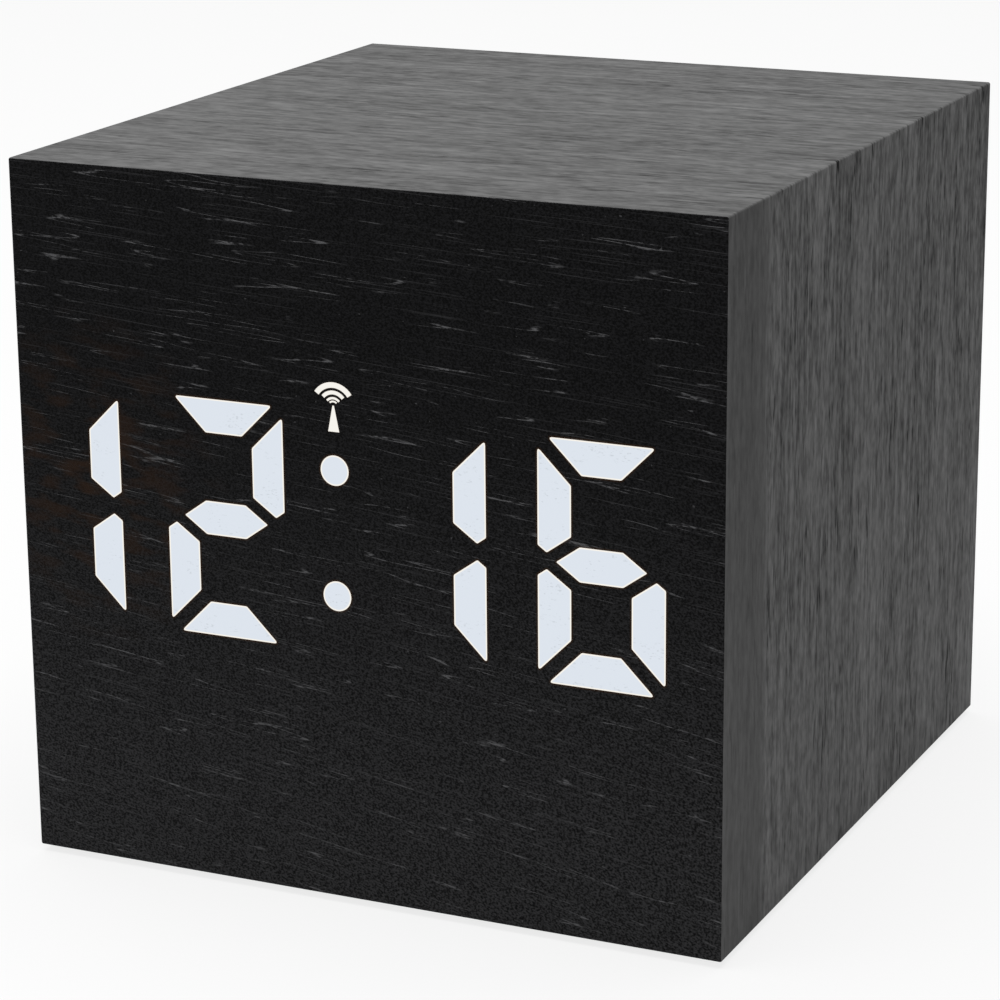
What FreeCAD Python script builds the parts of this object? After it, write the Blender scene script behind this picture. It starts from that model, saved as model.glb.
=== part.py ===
# Talking clock: a folded board cube with a numeral display behind its front film.
# Frame: X right and Y back as seen by the reader, Z up, origin at the middle of the base.
import FreeCAD, Part
import Sketcher
import math
import os
import re

# Driving sizes, in millimetres; names that end in share are plain ratios.
SIZES = {
    # Case of folded board with a film skin
    "case_width": 65.0,
    "case_depth": 68.0,
    "case_height": 62.0,
    "film_thickness": 0.3,
    "board_thickness": 3.0,
    "foot_height": 0.6,
    "foot_radius": 4.0,
    "foot_inset": 6.5,
    # Numerals and signs of the display: the margins and gaps leave the width of the digits
    "display_lift": 1.5,
    "left_margin": 6.9,
    "hour_gap": 4.55,
    "colon_gap": 7.35,
    "minute_gap": 4.6,
    "right_margin": 5.05,
    "digit_height": 20.8,
    "bar_share": 0.2634,
    "bar_round": 0.3,
    "corner_gap": 1.3,
    "tip_setback": 0.8,
    "tip_gap": 1.4,
    "middle_gap": 1.05,
    "tip_slope_share": 0.71,
    "colon_offset": 4.8,
    "colon_spread": 5.45,
    "colon_radius": 1.3,
    "mast_base_lift": 8.77,
    "mast_height": 2.23,
    "mast_base_width": 1.03,
    "mast_top_width": 0.14,
    "wave_centre_lift": 10.9,
    "wave_1_radius": 0.53,
    "wave_1_width": 0.15,
    "wave_2_radius": 0.83,
    "wave_2_width": 0.2,
    "wave_3_radius": 1.38,
    "wave_3_width": 0.33,
    "wave_4_radius": 2.08,
    "wave_4_width": 0.47,
    # Display module behind the film
    "panel_thickness": 2.0,
    "diffuser_thickness": 0.3,
    "reflector_depth": 6.0,
    "reflector_side_gap": 0.8,
    "reflector_rise": 14.2,
    "reflector_drop": 12.2,
    "sign_window_width": 4.4,
    "sign_window_height": 5.0,
    "sign_window_border": 1.0,
    "pcb_thickness": 1.6,
    "display_board_side_gap": 1.0,
    "display_board_border": 2.1,
    "display_post_inset": 4.7,
    "display_post_gap": 3.3,
    "chip_width": 1.6,
    "chip_height": 1.2,
    "chip_thickness": 0.8,
    "driver_width": 10.3,
    "driver_height": 7.5,
    "driver_thickness": 2.3,
    "driver_lift": 6.0,
    # Screws: small ones hold boards and tray, large ones hold the rear cover
    "post_radius": 2.3,
    "small_screw_radius": 0.85,
    "small_screw_length": 4.8,
    "small_head_radius": 1.75,
    "small_head_height": 1.1,
    "tray_screw_length": 3.6,
    "large_screw_radius": 1.25,
    "large_screw_end_gap": 3.0,
    "large_head_radius": 2.4,
    "large_head_height": 0.9,
    "recess_width": 0.5,
    "recess_depth": 0.5,
    "screw_clearance": 0.05,
    "screw_hole_clearance": 0.3,
    # Rear cover and its screw blocks
    "cover_recess": 1.0,
    "cover_thickness": 2.0,
    "cover_clearance": 0.15,
    "block_side": 7.0,
    "block_tray_gap": 1.05,
    # Control board with its push switches
    "control_board_width": 46.4,
    "control_board_height": 18.0,
    "control_board_bottom": 11.5,
    "control_board_gap": 4.9,
    "control_post_across": 41.6,
    "control_post_edge": 2.3,
    "button_pitch": 10.0,
    "button_place": 24.5,
    "button_radius": 3.0,
    "button_proud": 0.8,
    "button_crown": 0.3,
    "button_clearance": 0.2,
    "button_travel": 0.4,
    "flange_radius": 3.9,
    "flange_thickness": 0.8,
    "flange_gap": 0.1,
    "switch_side": 6.0,
    "switch_height": 3.5,
    "plunger_radius": 1.6,
    "plunger_clearance": 0.15,
    "plunger_sunk": 1.0,
    # Slide switch for the sound level
    "slide_place": -11.0,
    "lower_row_place": 15.5,
    "slide_body_width": 8.6,
    "slide_body_height": 4.4,
    "slide_body_depth": 3.4,
    "slide_lip": 1.1,
    "slide_floor": 0.9,
    "slide_travel": 2.0,
    "slide_clearance": 0.15,
    "knob_width": 1.8,
    "knob_height": 2.0,
    "knob_proud": 0.7,
    "knob_foot_width": 3.0,
    "knob_foot_height": 3.0,
    # Power socket
    "socket_place": 11.0,
    "socket_width": 7.6,
    "socket_base_width": 5.8,
    "socket_height": 2.7,
    "socket_slope_height": 1.0,
    "socket_depth": 6.7,
    "socket_wall": 0.35,
    "socket_floor": 1.6,
    "tongue_width": 3.8,
    "tongue_height": 0.7,
    "tongue_length": 3.6,
    "socket_clearance": 0.4,
    # Parts on the front of the control board
    "voice_chip_side": 9.0,
    "voice_chip_thickness": 1.6,
    "voice_chip_place": -14.0,
    "capacitor_radius": 2.5,
    "capacitor_length": 6.0,
    "capacitor_place": 13.5,
    "capacitor_pitch": 5.4,
    "sensor_radius": 1.5,
    "sensor_length": 8.0,
    "sensor_tray_gap": 0.5,
    # Flat cable between the two boards
    "header_width": 15.0,
    "header_height": 5.0,
    "header_depth": 5.0,
    "cable_place": 24.0,
    "cable_width": 12.0,
    "cable_thickness": 0.9,
    "cable_sag": 4.0,
    # Aerial for the time signal
    "rod_radius": 4.0,
    "rod_end_gap": 4.2,
    "rod_place_back": -8.0,
    "rod_drop": 8.3,
    "coil_radius": 5.2,
    "coil_length": 20.0,
    "clip_width": 3.0,
    "clip_wall": 1.5,
    "clip_inset": 7.0,
    "clip_clearance": 0.1,
    # Speaker behind the grille: the gaps above and below it leave its radius
    "speaker_top_gap": 1.9,
    "speaker_key_gap": 4.9,
    "gasket_thickness": 0.6,
    "gasket_width": 1.6,
    "rim_clearance": 0.3,
    "rim_wall": 1.2,
    "rim_height": 2.5,
    "frame_flange_thickness": 0.8,
    "frame_flange_width": 2.2,
    "frame_taper": 0.8,
    "frame_wall": 0.6,
    "frame_depth": 3.8,
    "magnet_share": 0.536,
    "magnet_length": 4.2,
    "gap_share": 0.76,
    "coil_floor_gap": 0.5,
    "coil_outer_gap": 0.35,
    "coil_inner_gap": 0.25,
    "voice_coil_wall": 0.5,
    "voice_coil_sunk": 1.8,
    "surround_width": 1.4,
    "cone_wall": 0.4,
    "cone_rise": 1.9,
    "cone_lift": 1.4,
    "dome_rise": 0.9,
    "surround_bulge": 0.6,
    "cone_travel": 0.3,
    "grille_border": 1.1,
    "grille_hole_share": 0.258,
    # Battery tray, cells and door: the gap beside the tray leaves the length of the cells
    "tray_side_gap": 3.7,
    "cell_radius": 5.25,
    "cell_nub_radius": 1.9,
    "cell_nub_length": 1.0,
    "cell_edge": 0.5,
    "cell_gap": 0.4,
    "cell_clearance": 0.3,
    "tray_place": -0.5,
    "tray_wall": 1.8,
    "tray_roof": 1.3,
    "tray_clearance": 0.2,
    "tray_flange": 1.2,
    "tray_flange_width": 2.2,
    "ear_width": 7.0,
    "ear_length": 5.0,
    "ear_inset": 14.2,
    "contact_plate": 0.4,
    "contact_side": 7.6,
    "leaf_reach": 2.5,
    "leaf_thickness": 0.35,
    "leaf_span": 6.4,
    "leaf_tip": 0.8,
    "door_thickness": 2.0,
    "door_clearance": 0.25,
    "hinge_pin_radius": 0.6,
    "hinge_pin_length": 1.5,
    "hinge_clearance": 0.06,
    "scoop_width": 12.0,
    "scoop_length": 4.0,
    "scoop_depth": 0.9,
    "scoop_border": 1.2,
    # Overrun of cutting shapes past the faces they cut
    "overrun": 1.0,
}

# Places worked out from the driving sizes
PLACES = {
    "case_front": "-case_depth / 2",
    "case_back": "case_depth / 2",
    "case_left": "-case_width / 2",
    "case_bottom": "foot_height",
    "case_top": "foot_height + case_height",
    "skin_half": "case_width / 2 - film_thickness",
    "skin_bottom": "case_bottom + film_thickness",
    "skin_top": "case_top - film_thickness",
    "inner_half": "skin_half - board_thickness",
    "inner_bottom": "skin_bottom + board_thickness",
    "inner_top": "skin_top - board_thickness",
    "film_back": "case_front + film_thickness",
    "panel_back": "film_back + panel_thickness",
    "diffuser_back": "panel_back + diffuser_thickness",
    "reflector_back": "diffuser_back + reflector_depth",
    "display_board_back": "reflector_back + pcb_thickness",
    "display_level": "case_bottom + case_height / 2 + display_lift",
    "numeral_room": "case_width - left_margin - hour_gap - colon_gap - minute_gap - right_margin",
    "digit_width": "(numeral_room) / (3 + bar_share)",
    "bar_width": "digit_width * bar_share",
    "hour_tens_right": "left_margin + bar_width",
    "hour_ones_right": "hour_tens_right + hour_gap + digit_width",
    "minute_tens_right": "hour_ones_right + colon_gap + digit_width",
    "minute_ones_right": "minute_tens_right + minute_gap + digit_width",
    "half_digit": "digit_height / 2",
    "notch": "corner_gap / sqrt(2)",
    "middle_tip": "digit_width - tip_setback - (middle_gap * sqrt(1 + tip_slope_share ^ 2) - tip_gap / 2)"
                  " / tip_slope_share",
    "bar_run": "bar_width / 2 / tip_slope_share",
    "colon_at": "case_left + hour_ones_right + colon_offset",
    "mast_base": "display_level + mast_base_lift",
    "wave_centre": "display_level + wave_centre_lift",
    "reflector_half": "inner_half - reflector_side_gap",
    "reflector_top": "display_level + reflector_rise",
    "reflector_bottom": "display_level - reflector_drop",
    "sign_window_bottom": "reflector_top - sign_window_border - sign_window_height",
    "display_post_top": "reflector_top + display_post_gap",
    "display_post_bottom": "reflector_bottom - display_post_gap",
    "display_board_top": "display_post_top + display_board_border",
    "display_board_bottom": "display_post_bottom - display_board_border",
    "cover_back": "case_back - cover_recess",
    "cover_front": "cover_back - cover_thickness",
    "cover_half": "inner_half - cover_clearance",
    "cover_bottom": "inner_bottom + cover_clearance",
    "cover_top": "inner_top - cover_clearance",
    "block_front": "tray_back + tray_flange_width + block_tray_gap",
    "large_screw_length": "cover_back - (block_front) - large_screw_end_gap",
    "rod_half": "inner_half - rod_end_gap",
    "rod_place_up": "inner_top - rod_drop",
    "speaker_room": "inner_top - speaker_top_gap - (button_place + speaker_key_gap)",
    "speaker_radius": "(speaker_room) / 2",
    "speaker_place": "inner_top - speaker_top_gap - speaker_radius",
    "frame_mouth_radius": "speaker_radius - frame_flange_width",
    "frame_base_radius": "frame_mouth_radius - frame_taper",
    "cone_radius": "frame_mouth_radius - surround_width",
    "magnet_radius": "speaker_radius * magnet_share",
    "gap_outer_radius": "magnet_radius * gap_share",
    "voice_coil_outer": "gap_outer_radius - coil_outer_gap",
    "voice_coil_inner": "voice_coil_outer - voice_coil_wall",
    "gap_inner_radius": "voice_coil_inner - coil_inner_gap",
    "grille_pitch": "(cone_radius - grille_border) / 3",
    "grille_hole_radius": "grille_pitch * grille_hole_share",
    "control_back": "cover_front - control_board_gap",
    "control_front": "control_back - pcb_thickness",
    "control_top": "control_board_bottom + control_board_height",
    "flange_back": "cover_front - flange_gap",
    "flange_front": "flange_back - flange_thickness",
    "button_face": "cover_back + button_proud",
    "switch_top": "control_back + switch_height",
    "slide_top": "control_back + slide_body_depth",
    "knob_foot_top": "slide_top - slide_lip - slide_clearance",
    "knob_foot_bottom": "control_back + slide_floor + slide_clearance",
    "display_header_back": "display_board_back + header_depth",
    "control_header_front": "control_front - header_depth",
    "cable_chord": "control_header_front - (display_header_back)",
    "cable_bend": "(cable_chord) ^ 2 / 8 / cable_sag + cable_sag / 2",
    "gasket_front": "cover_front - gasket_thickness",
    "frame_front": "gasket_front - frame_flange_thickness",
    "frame_base": "frame_front - frame_depth",
    "magnet_top": "frame_base + frame_wall",
    "magnet_front": "frame_base - magnet_length + frame_wall",
    "gap_floor": "magnet_top - voice_coil_sunk - cone_travel - coil_floor_gap",
    "cone_low": "frame_base + frame_wall + cone_lift",
    "cone_high": "cone_low + cone_rise",
    "door_bottom": "case_bottom",
    "door_top": "case_bottom + door_thickness",
    "cell_level": "door_top + cell_clearance + cell_radius",
    "tray_roof_under": "cell_level + cell_radius + cell_clearance",
    "tray_top": "tray_roof_under + tray_roof",
    "tray_half": "inner_half - tray_side_gap",
    "tray_hollow_half": "tray_half - tray_wall",
    "tray_hollow_deep": "6 * cell_radius + 2 * cell_gap + 2 * cell_clearance",
    "ear_place": "inner_half - ear_inset",
    "tray_hollow_front": "tray_place - (tray_hollow_deep) / 2",
    "tray_hollow_back": "tray_place + (tray_hollow_deep) / 2",
    "tray_front": "tray_hollow_front - tray_wall",
    "tray_back": "tray_hollow_back + tray_wall",
    "hinge_level": "door_bottom + door_thickness / 2",
    "hinge_line": "tray_hollow_front + door_clearance + door_thickness / 2",
    "door_half": "tray_hollow_half - door_clearance",
}

document = FreeCAD.newDocument("talking_clock")
sheet = document.addObject("Spreadsheet::Sheet", "Sizes")
for row, (size_name, size_value) in enumerate(SIZES.items(), 1):
    sheet.set(f"A{row}", size_name)
    sheet.set(f"B{row}", str(size_value))
    sheet.setAlias(f"B{row}", size_name)
document.recompute()

PARTS = {}


def ref(text):
    """The expression with each size pointed at its cell and each place written out."""
    def swap(found):
        word = found[0]
        if word in PLACES:
            return "(" + ref(PLACES[word]) + ")"
        return "Sizes." + word if word in SIZES else word
    return re.sub(r"[a-z]\w*", swap, text)


def val(text):
    """The number that an expression gives with the sheet's present sizes."""
    return float(sheet.evalExpression(ref(text)))


def part(name, item):
    """Make an object a sub-part: its label is the name of its file."""
    item.Label = name
    PARTS[name] = item
    return item


def box(name, x, y, z):
    """A block between two places on each axis."""
    block = document.addObject("Part::Box", name)
    for axis, side, (low, high) in zip("xyz", ("Length", "Width", "Height"), (x, y, z)):
        block.setExpression(side, ref(f"({high}) - ({low})"))
        block.setExpression("Placement.Base." + axis, ref(low))
    return block


AIMS = {
    "x": FreeCAD.Rotation(FreeCAD.Vector(0, 1, 0), 90),
    "y": FreeCAD.Rotation(FreeCAD.Vector(1, 0, 0), -90),
    "z": FreeCAD.Rotation(),
}


def rod(name, along, start, radius, length):
    """A cylinder from a start point along one axis."""
    cylinder = document.addObject("Part::Cylinder", name)
    cylinder.Placement = FreeCAD.Placement(FreeCAD.Vector(), AIMS[along])
    for axis, place in zip("xyz", start):
        cylinder.setExpression("Placement.Base." + axis, ref(place))
    cylinder.setExpression("Radius", ref(radius))
    cylinder.setExpression("Height", ref(length))
    return cylinder


def group(name, items):
    """Several separate solids kept as one object."""
    bundle = document.addObject("Part::Compound", name)
    bundle.Links = list(items)
    return bundle


def fuse(name, items):
    """One solid from touching pieces."""
    whole = document.addObject("Part::MultiFuse", name)
    whole.Shapes = list(items)
    whole.Refine = True
    return whole


def cut(name, base, tools):
    """A base less its cutting shapes, which don't meet each other."""
    result = document.addObject("Part::Cut", name)
    result.Base = base
    result.Tool = tools[0] if len(tools) == 1 else group(name + "_tools", tools)
    return result


def draw(body, plane, offsets, loops=(), circles=()):
    """A sketch on one of its body's own planes, with every corner and circle bound to the sizes."""
    face = next(item for item in body.Origin.OriginFeatures if item.Role == plane)
    sketch = body.newObject("Sketcher::SketchObject", body.Name + "_outline")
    sketch.AttachmentSupport = [(face, "")]
    sketch.MapMode = "FlatFace"
    for axis, text in zip("xyz", offsets):
        sketch.setExpression("AttachmentOffset.Base." + axis, ref(text))
    limits = []
    for loop in loops:
        corners = [FreeCAD.Vector(val(u), val(v), 0) for u, v in loop]
        first = sketch.GeometryCount
        ends = corners[1:] + corners[:1]
        sketch.addGeometry([Part.LineSegment(a, b) for a, b in zip(corners, ends)], False)
        for step, (corner, (u, v)) in enumerate(zip(corners, loop)):
            here = first + step
            after = first + (step + 1) % len(loop)
            limits.append((Sketcher.Constraint("Coincident", here, 2, after, 1), None))
            limits.append((Sketcher.Constraint("DistanceX", -1, 1, here, 1, corner.x), u))
            limits.append((Sketcher.Constraint("DistanceY", -1, 1, here, 1, corner.y), v))
    for u, v, radius in circles:
        centre = FreeCAD.Vector(val(u), val(v), 0)
        here = sketch.addGeometry(Part.Circle(centre, FreeCAD.Vector(0, 0, 1), val(radius)), False)
        limits.append((Sketcher.Constraint("DistanceX", -1, 1, here, 3, centre.x), u))
        limits.append((Sketcher.Constraint("DistanceY", -1, 1, here, 3, centre.y), v))
        limits.append((Sketcher.Constraint("Radius", here, val(radius)), radius))
    sketch.addConstraint([limit for limit, text in limits])
    for index, (limit, text) in enumerate(limits):
        if text is not None:
            sketch.setExpression(f"Constraints[{index}]", ref(text))
    return sketch


def new_body(name):
    body = document.addObject("PartDesign::Body", name)
    body.AllowCompound = True
    return body


def pad(body, sketch, length, backwards):
    """Thicken a sketch; on the front planes, backwards is towards +Y."""
    feature = body.newObject("PartDesign::Pad", body.Name + "_pad")
    feature.Profile = sketch
    feature.setExpression("Length", ref(length))
    feature.Reversed = backwards
    return feature


def front_plate(name, front, depth, loops=(), circles=()):
    """A piece with one outline seen from the front, carried straight back."""
    body = new_body(name)
    sketch = draw(body, "XZ_Plane", ("0", "0", f"-({front})"), loops, circles)
    pad(body, sketch, depth, True)
    return body


def turned(name, along, origin, points):
    """A round piece: an outline of (place along the axis, radius) turned about an axis at the origin."""
    x, y, z = origin
    body = new_body(name)
    if along == "x":
        sketch = draw(body, "XZ_Plane", (x, z, f"-({y})"), [points])
    elif along == "y":
        sketch = draw(body, "YZ_Plane", (y, z, x), [points])
    else:
        upright = [(radius, place) for place, radius in points]
        sketch = draw(body, "XZ_Plane", (x, z, f"-({y})"), [upright])
    feature = body.newObject("PartDesign::Revolution", name + "_turn")
    feature.Profile = sketch
    feature.ReferenceAxis = (sketch, ["V_Axis" if along == "z" else "H_Axis"])
    feature.Angle = 360
    return body


def bar_outline(letter, right_edge):
    """The corners of one numeral bar, named a to g clockwise from the top with g in the middle.

    Side bars have square ends with a mitred corner towards the top or bottom bar, and a slanted
    end towards the middle one, whose own ends are points that fit between them."""
    if letter in "ad":
        corners = [
            ("digit_width - notch", "half_digit"),
            ("notch", "half_digit"),
            ("notch + bar_width", "half_digit - bar_width"),
            ("digit_width - notch - bar_width", "half_digit - bar_width"),
        ]
    elif letter == "g":
        corners = [
            ("middle_tip", "0"),
            ("middle_tip - bar_run", "bar_width / 2"),
            ("digit_width - middle_tip + bar_run", "bar_width / 2"),
            ("digit_width - middle_tip", "0"),
            ("digit_width - middle_tip + bar_run", "-bar_width / 2"),
            ("middle_tip - bar_run", "-bar_width / 2"),
        ]
    else:
        corners = [
            ("digit_width", "half_digit - notch"),
            ("digit_width - bar_width", "half_digit - notch - bar_width"),
            ("digit_width - bar_width", "tip_gap / 2 + (bar_width - tip_setback) * tip_slope_share"),
            ("digit_width - tip_setback", "tip_gap / 2"),
            ("digit_width", "tip_gap / 2 + tip_setback * tip_slope_share"),
        ]
    if letter in "cde":
        corners = [(across, f"-({up})") for across, up in corners]
    if letter in "ef":
        corners = [(f"digit_width - ({across})", up) for across, up in corners]
    left_edge = f"case_left + {right_edge} - digit_width"
    return [(f"{left_edge} + {across}", f"display_level + {up}") for across, up in corners]


def bar_set(name, right_edge, letters):
    """Some bars of one numeral as inlays of the film."""
    outlines = [bar_outline(letter, right_edge) for letter in letters]
    return front_plate(name, "case_front", "film_thickness", outlines)


def round_bars(body):
    """Soften the corners of a set of bars: every edge that runs straight back."""
    flat = body.Tip
    straight_back = []
    for number, edge in enumerate(flat.Shape.Edges, 1):
        if abs(edge.tangentAt(edge.FirstParameter).y) > math.cos(BACKWARD_TOLERANCE):
            straight_back.append(f"Edge{number}")
    fillet = body.newObject("PartDesign::Fillet", body.Name + "_round")
    fillet.Base = (flat, straight_back)
    fillet.setExpression("Radius", ref("bar_round"))


# How far an edge may lean from the Y axis and still count as straight back
BACKWARD_TOLERANCE = math.radians(5)


DIGITS = {
    "hour_tens": ("hour_tens_right", "bc", ""),
    "hour_ones": ("hour_ones_right", "abged", "cf"),
    "minute_tens": ("minute_tens_right", "bc", "adefg"),
    "minute_ones": ("minute_ones_right", "acdefg", "b"),
}


def make_numerals():
    """Inlays of the front film: the lit bars of each numeral and the dark ones between them."""
    lit = []
    dark = []
    for digit, (right_edge, lit_letters, dark_letters) in DIGITS.items():
        lit.append(part(digit + "_bars", bar_set(digit + "_bars", right_edge, lit_letters)))
        if dark_letters:
            dark.append(bar_set(digit + "_dark", right_edge, dark_letters))
    part("unlit_bars", group("unlit_bars", dark))
    document.recompute()
    for body in lit + dark:
        round_bars(body)


def colon_circles():
    level = "display_level"
    return [("colon_at", f"{level} {sign} colon_spread", "colon_radius") for sign in "-+"]


def wave(number):
    """One radio wave of the sign: a band of a ring, centred over the mast."""
    outer = f"wave_{number}_radius"
    half_angle = WAVE_HALF_ANGLES[number - 1]
    tilt = FreeCAD.Rotation(FreeCAD.Vector(0, 0, 1), -90 - half_angle)
    bands = []
    for place, radius in (("outer", outer), ("inner", f"{outer} - wave_{number}_width")):
        start = ("colon_at", "case_front", "wave_centre")
        sector = rod(f"wave_{number}_{place}", "y", start, radius, "film_thickness")
        if place == "outer":
            turned_aim = AIMS["y"].multiply(tilt)
            sector.Placement = FreeCAD.Placement(FreeCAD.Vector(), turned_aim)
            sector.Angle = 2 * half_angle
        bands.append(sector)
    return cut(f"wave_{number}", bands[0], bands[1:])


# Half of the angle that each wave of the radio sign spans, in degrees, inner wave first
WAVE_HALF_ANGLES = (43.5, 49.0, 49.5, 55.5)


def make_signs():
    """The colon's dots and the radio mast sign, inlaid in the film."""
    part("colon_dots", front_plate("colon_dots", "case_front", "film_thickness", circles=colon_circles()))
    mast = front_plate("mast", "case_front", "film_thickness", [[
        ("colon_at - mast_base_width / 2", "mast_base"),
        ("colon_at + mast_base_width / 2", "mast_base"),
        ("colon_at + mast_top_width / 2", "mast_base + mast_height"),
        ("colon_at - mast_top_width / 2", "mast_base + mast_height"),
    ]])
    part("radio_sign", group("radio_sign", [mast] + [wave(number) for number in (1, 2, 3, 4)]))


def make_case():
    """Four mitred boards folded into a tube, the skin round them, and the film over the front."""
    half, low, high = "skin_half", "skin_bottom", "skin_top"
    near, under, over = "inner_half", "inner_bottom", "inner_top"
    corners = {
        "top_board": [(f"-{half}", high), (half, high), (near, over), (f"-{near}", over)],
        "floor_board": [(f"-{half}", low), (half, low), (near, under), (f"-{near}", under)],
        "left_board": [(f"-{half}", low), (f"-{near}", under), (f"-{near}", over), (f"-{half}", high)],
        "right_board": [(half, low), (near, under), (near, over), (half, high)],
    }
    depth = "case_back - (film_back)"
    boards = {name: front_plate(name, "film_back", depth, [loop]) for name, loop in corners.items()}
    for name in ("top_board", "left_board", "right_board"):
        part(name, boards[name])
    mouth_x = ("-(tray_half + tray_clearance)", "tray_half + tray_clearance")
    mouth_y = ("tray_front - tray_clearance", "tray_back + tray_clearance")
    mouth = box("tray_mouth", mouth_x, mouth_y, ("case_bottom - overrun", "inner_bottom + overrun"))
    pilot_end = "inner_bottom + tray_flange - tray_screw_length - screw_clearance"
    pilots = [
        rod(f"tray_pilot_{number}", "z", (x, y, pilot_end),
            "small_screw_radius + screw_clearance", "tray_screw_length + overrun")
        for number, (x, y) in enumerate(ear_places())
    ]
    part("bottom_board", cut("bottom_board", boards["floor_board"], [mouth] + pilots))

    edge = "case_width / 2"
    wrap = front_plate("wrap_tube", "film_back", depth, [
        [(f"-{edge}", "case_bottom"), (edge, "case_bottom"), (edge, "case_top"), (f"-{edge}", "case_top")],
        [(f"-{half}", low), (half, low), (half, high), (f"-{half}", high)],
    ])
    wrap_mouth = box("wrap_mouth", mouth_x, mouth_y, ("case_bottom - overrun", "skin_bottom + overrun"))
    part("skin_wrap", cut("skin_wrap", wrap, [wrap_mouth]))

    sheet_blank = box("film_blank", (f"-{edge}", edge), ("case_front", "film_back"),
                      ("case_bottom", "case_top"))
    inlays = [PARTS[digit + "_bars"] for digit in DIGITS]
    inlays += [PARTS["unlit_bars"], PARTS["colon_dots"], PARTS["radio_sign"]]
    part("front_film", cut("front_film", sheet_blank, inlays))

    blocks = []
    for number, (x, z) in enumerate(cover_screw_places()):
        side = "block_side / 2"
        pilot = rod(f"block_pilot_{number}", "y", (x, "block_front", z),
                    "large_screw_radius + screw_clearance", "cover_front - (block_front) + overrun")
        block = box(f"block_{number}", (f"{x} - {side}", f"{x} + {side}"),
                    ("block_front", "cover_front"), (f"{z} - {side}", f"{z} + {side}"))
        blocks.append(cut(f"corner_block_{number}", block, [pilot]))
    part("corner_blocks", group("corner_blocks", blocks))

    feet = []
    for side in "-+":
        for end in "-+":
            centre = (f"{side}(case_width / 2 - foot_inset)", f"{end}(case_depth / 2 - foot_inset)", "0")
            feet.append(rod(f"foot{len(feet)}", "z", centre, "foot_radius", "foot_height"))
    part("rubber_feet", group("rubber_feet", feet))


def cover_screw_places():
    """X and Z of the four screws of the rear cover, each in the middle of its corner block."""
    return [
        (f"{side}(inner_half - block_side / 2)", z)
        for side in "-+"
        for z in ("inner_bottom + block_side / 2", "inner_top - block_side / 2")
    ]


def display_post_places():
    """X and Z of the four posts that carry the display board."""
    return [
        (f"{side}(inner_half - display_post_inset)", z)
        for side in "-+" for z in ("display_post_bottom", "display_post_top")
    ]


def control_post_places():
    """X and Z of the four posts that carry the control board."""
    return [
        (f"{side}control_post_across / 2", z)
        for side in "-+"
        for z in ("control_board_bottom + control_post_edge", "control_top - control_post_edge")
    ]


def ear_places():
    """X and Y of the four screwed ears of the battery tray."""
    return [
        (f"{side}(ear_place)", y)
        for side in "-+"
        for y in ("tray_front - ear_length / 2", "tray_back + ear_length / 2")
    ]


def make_screw(name, along, start, inwards, kind, length):
    """A pan head screw with a cross recess. Start is the underside of its head, and inwards the
    sign of the way its shank points along the axis."""
    away = "-" if inwards == "+" else "+"
    shank = f"{kind}_screw_radius"
    head, height = f"{kind}_head_radius", f"{kind}_head_height"
    outline = [
        (f"{inwards}{length}", "0"),
        (f"{inwards}({length} - {shank})", shank),
        ("0", shank),
        ("0", head),
        (f"{away}{height} / 2", head),
        (f"{away}{height}", f"{head} - {height} / 2"),
        (f"{away}{height}", "0"),
    ]
    blank = turned(name + "_blank", along, start, outline)
    place = dict(zip("xyz", start))[along]
    sink = sorted((f"{place} {away} {height}", f"{place} {away} ({height} - recess_depth)"), key=val)
    slots = []
    others = [axis for axis in "xyz" if axis != along]
    for long_axis in others:
        spans = {along: sink}
        for axis in others:
            reach = f"{head} / 2" if axis == long_axis else "recess_width / 2"
            centre = dict(zip("xyz", start))[axis]
            spans[axis] = (f"{centre} - {reach}", f"{centre} + {reach}")
        slots.append(box(f"{name}_slot_{long_axis}", spans["x"], spans["y"], spans["z"]))
    return cut(name, blank, [fuse(name + "_cross", slots)])


def make_screws():
    small = []
    for x, z in display_post_places():
        small.append(make_screw(f"display_screw{len(small)}", "y", (x, "display_board_back", z), "-",
                                "small", "small_screw_length"))
    for x, z in control_post_places():
        small.append(make_screw(f"control_screw{len(small)}", "y", (x, "control_front", z), "+",
                                "small", "small_screw_length"))
    for x, y in ear_places():
        ear_top = (x, y, "inner_bottom + tray_flange")
        small.append(make_screw(f"tray_screw{len(small)}", "z", ear_top, "-", "small", "tray_screw_length"))
    part("small_screws", group("small_screws", small))
    large = []
    for x, z in cover_screw_places():
        large.append(make_screw(f"cover_screw{len(large)}", "y", (x, "cover_back", z), "-",
                                "large", "large_screw_length"))
    part("rear_screws", group("rear_screws", large))


def rectangle(low_x, high_x, low_z, high_z):
    return [(low_x, low_z), (high_x, low_z), (high_x, high_z), (low_x, high_z)]


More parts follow.
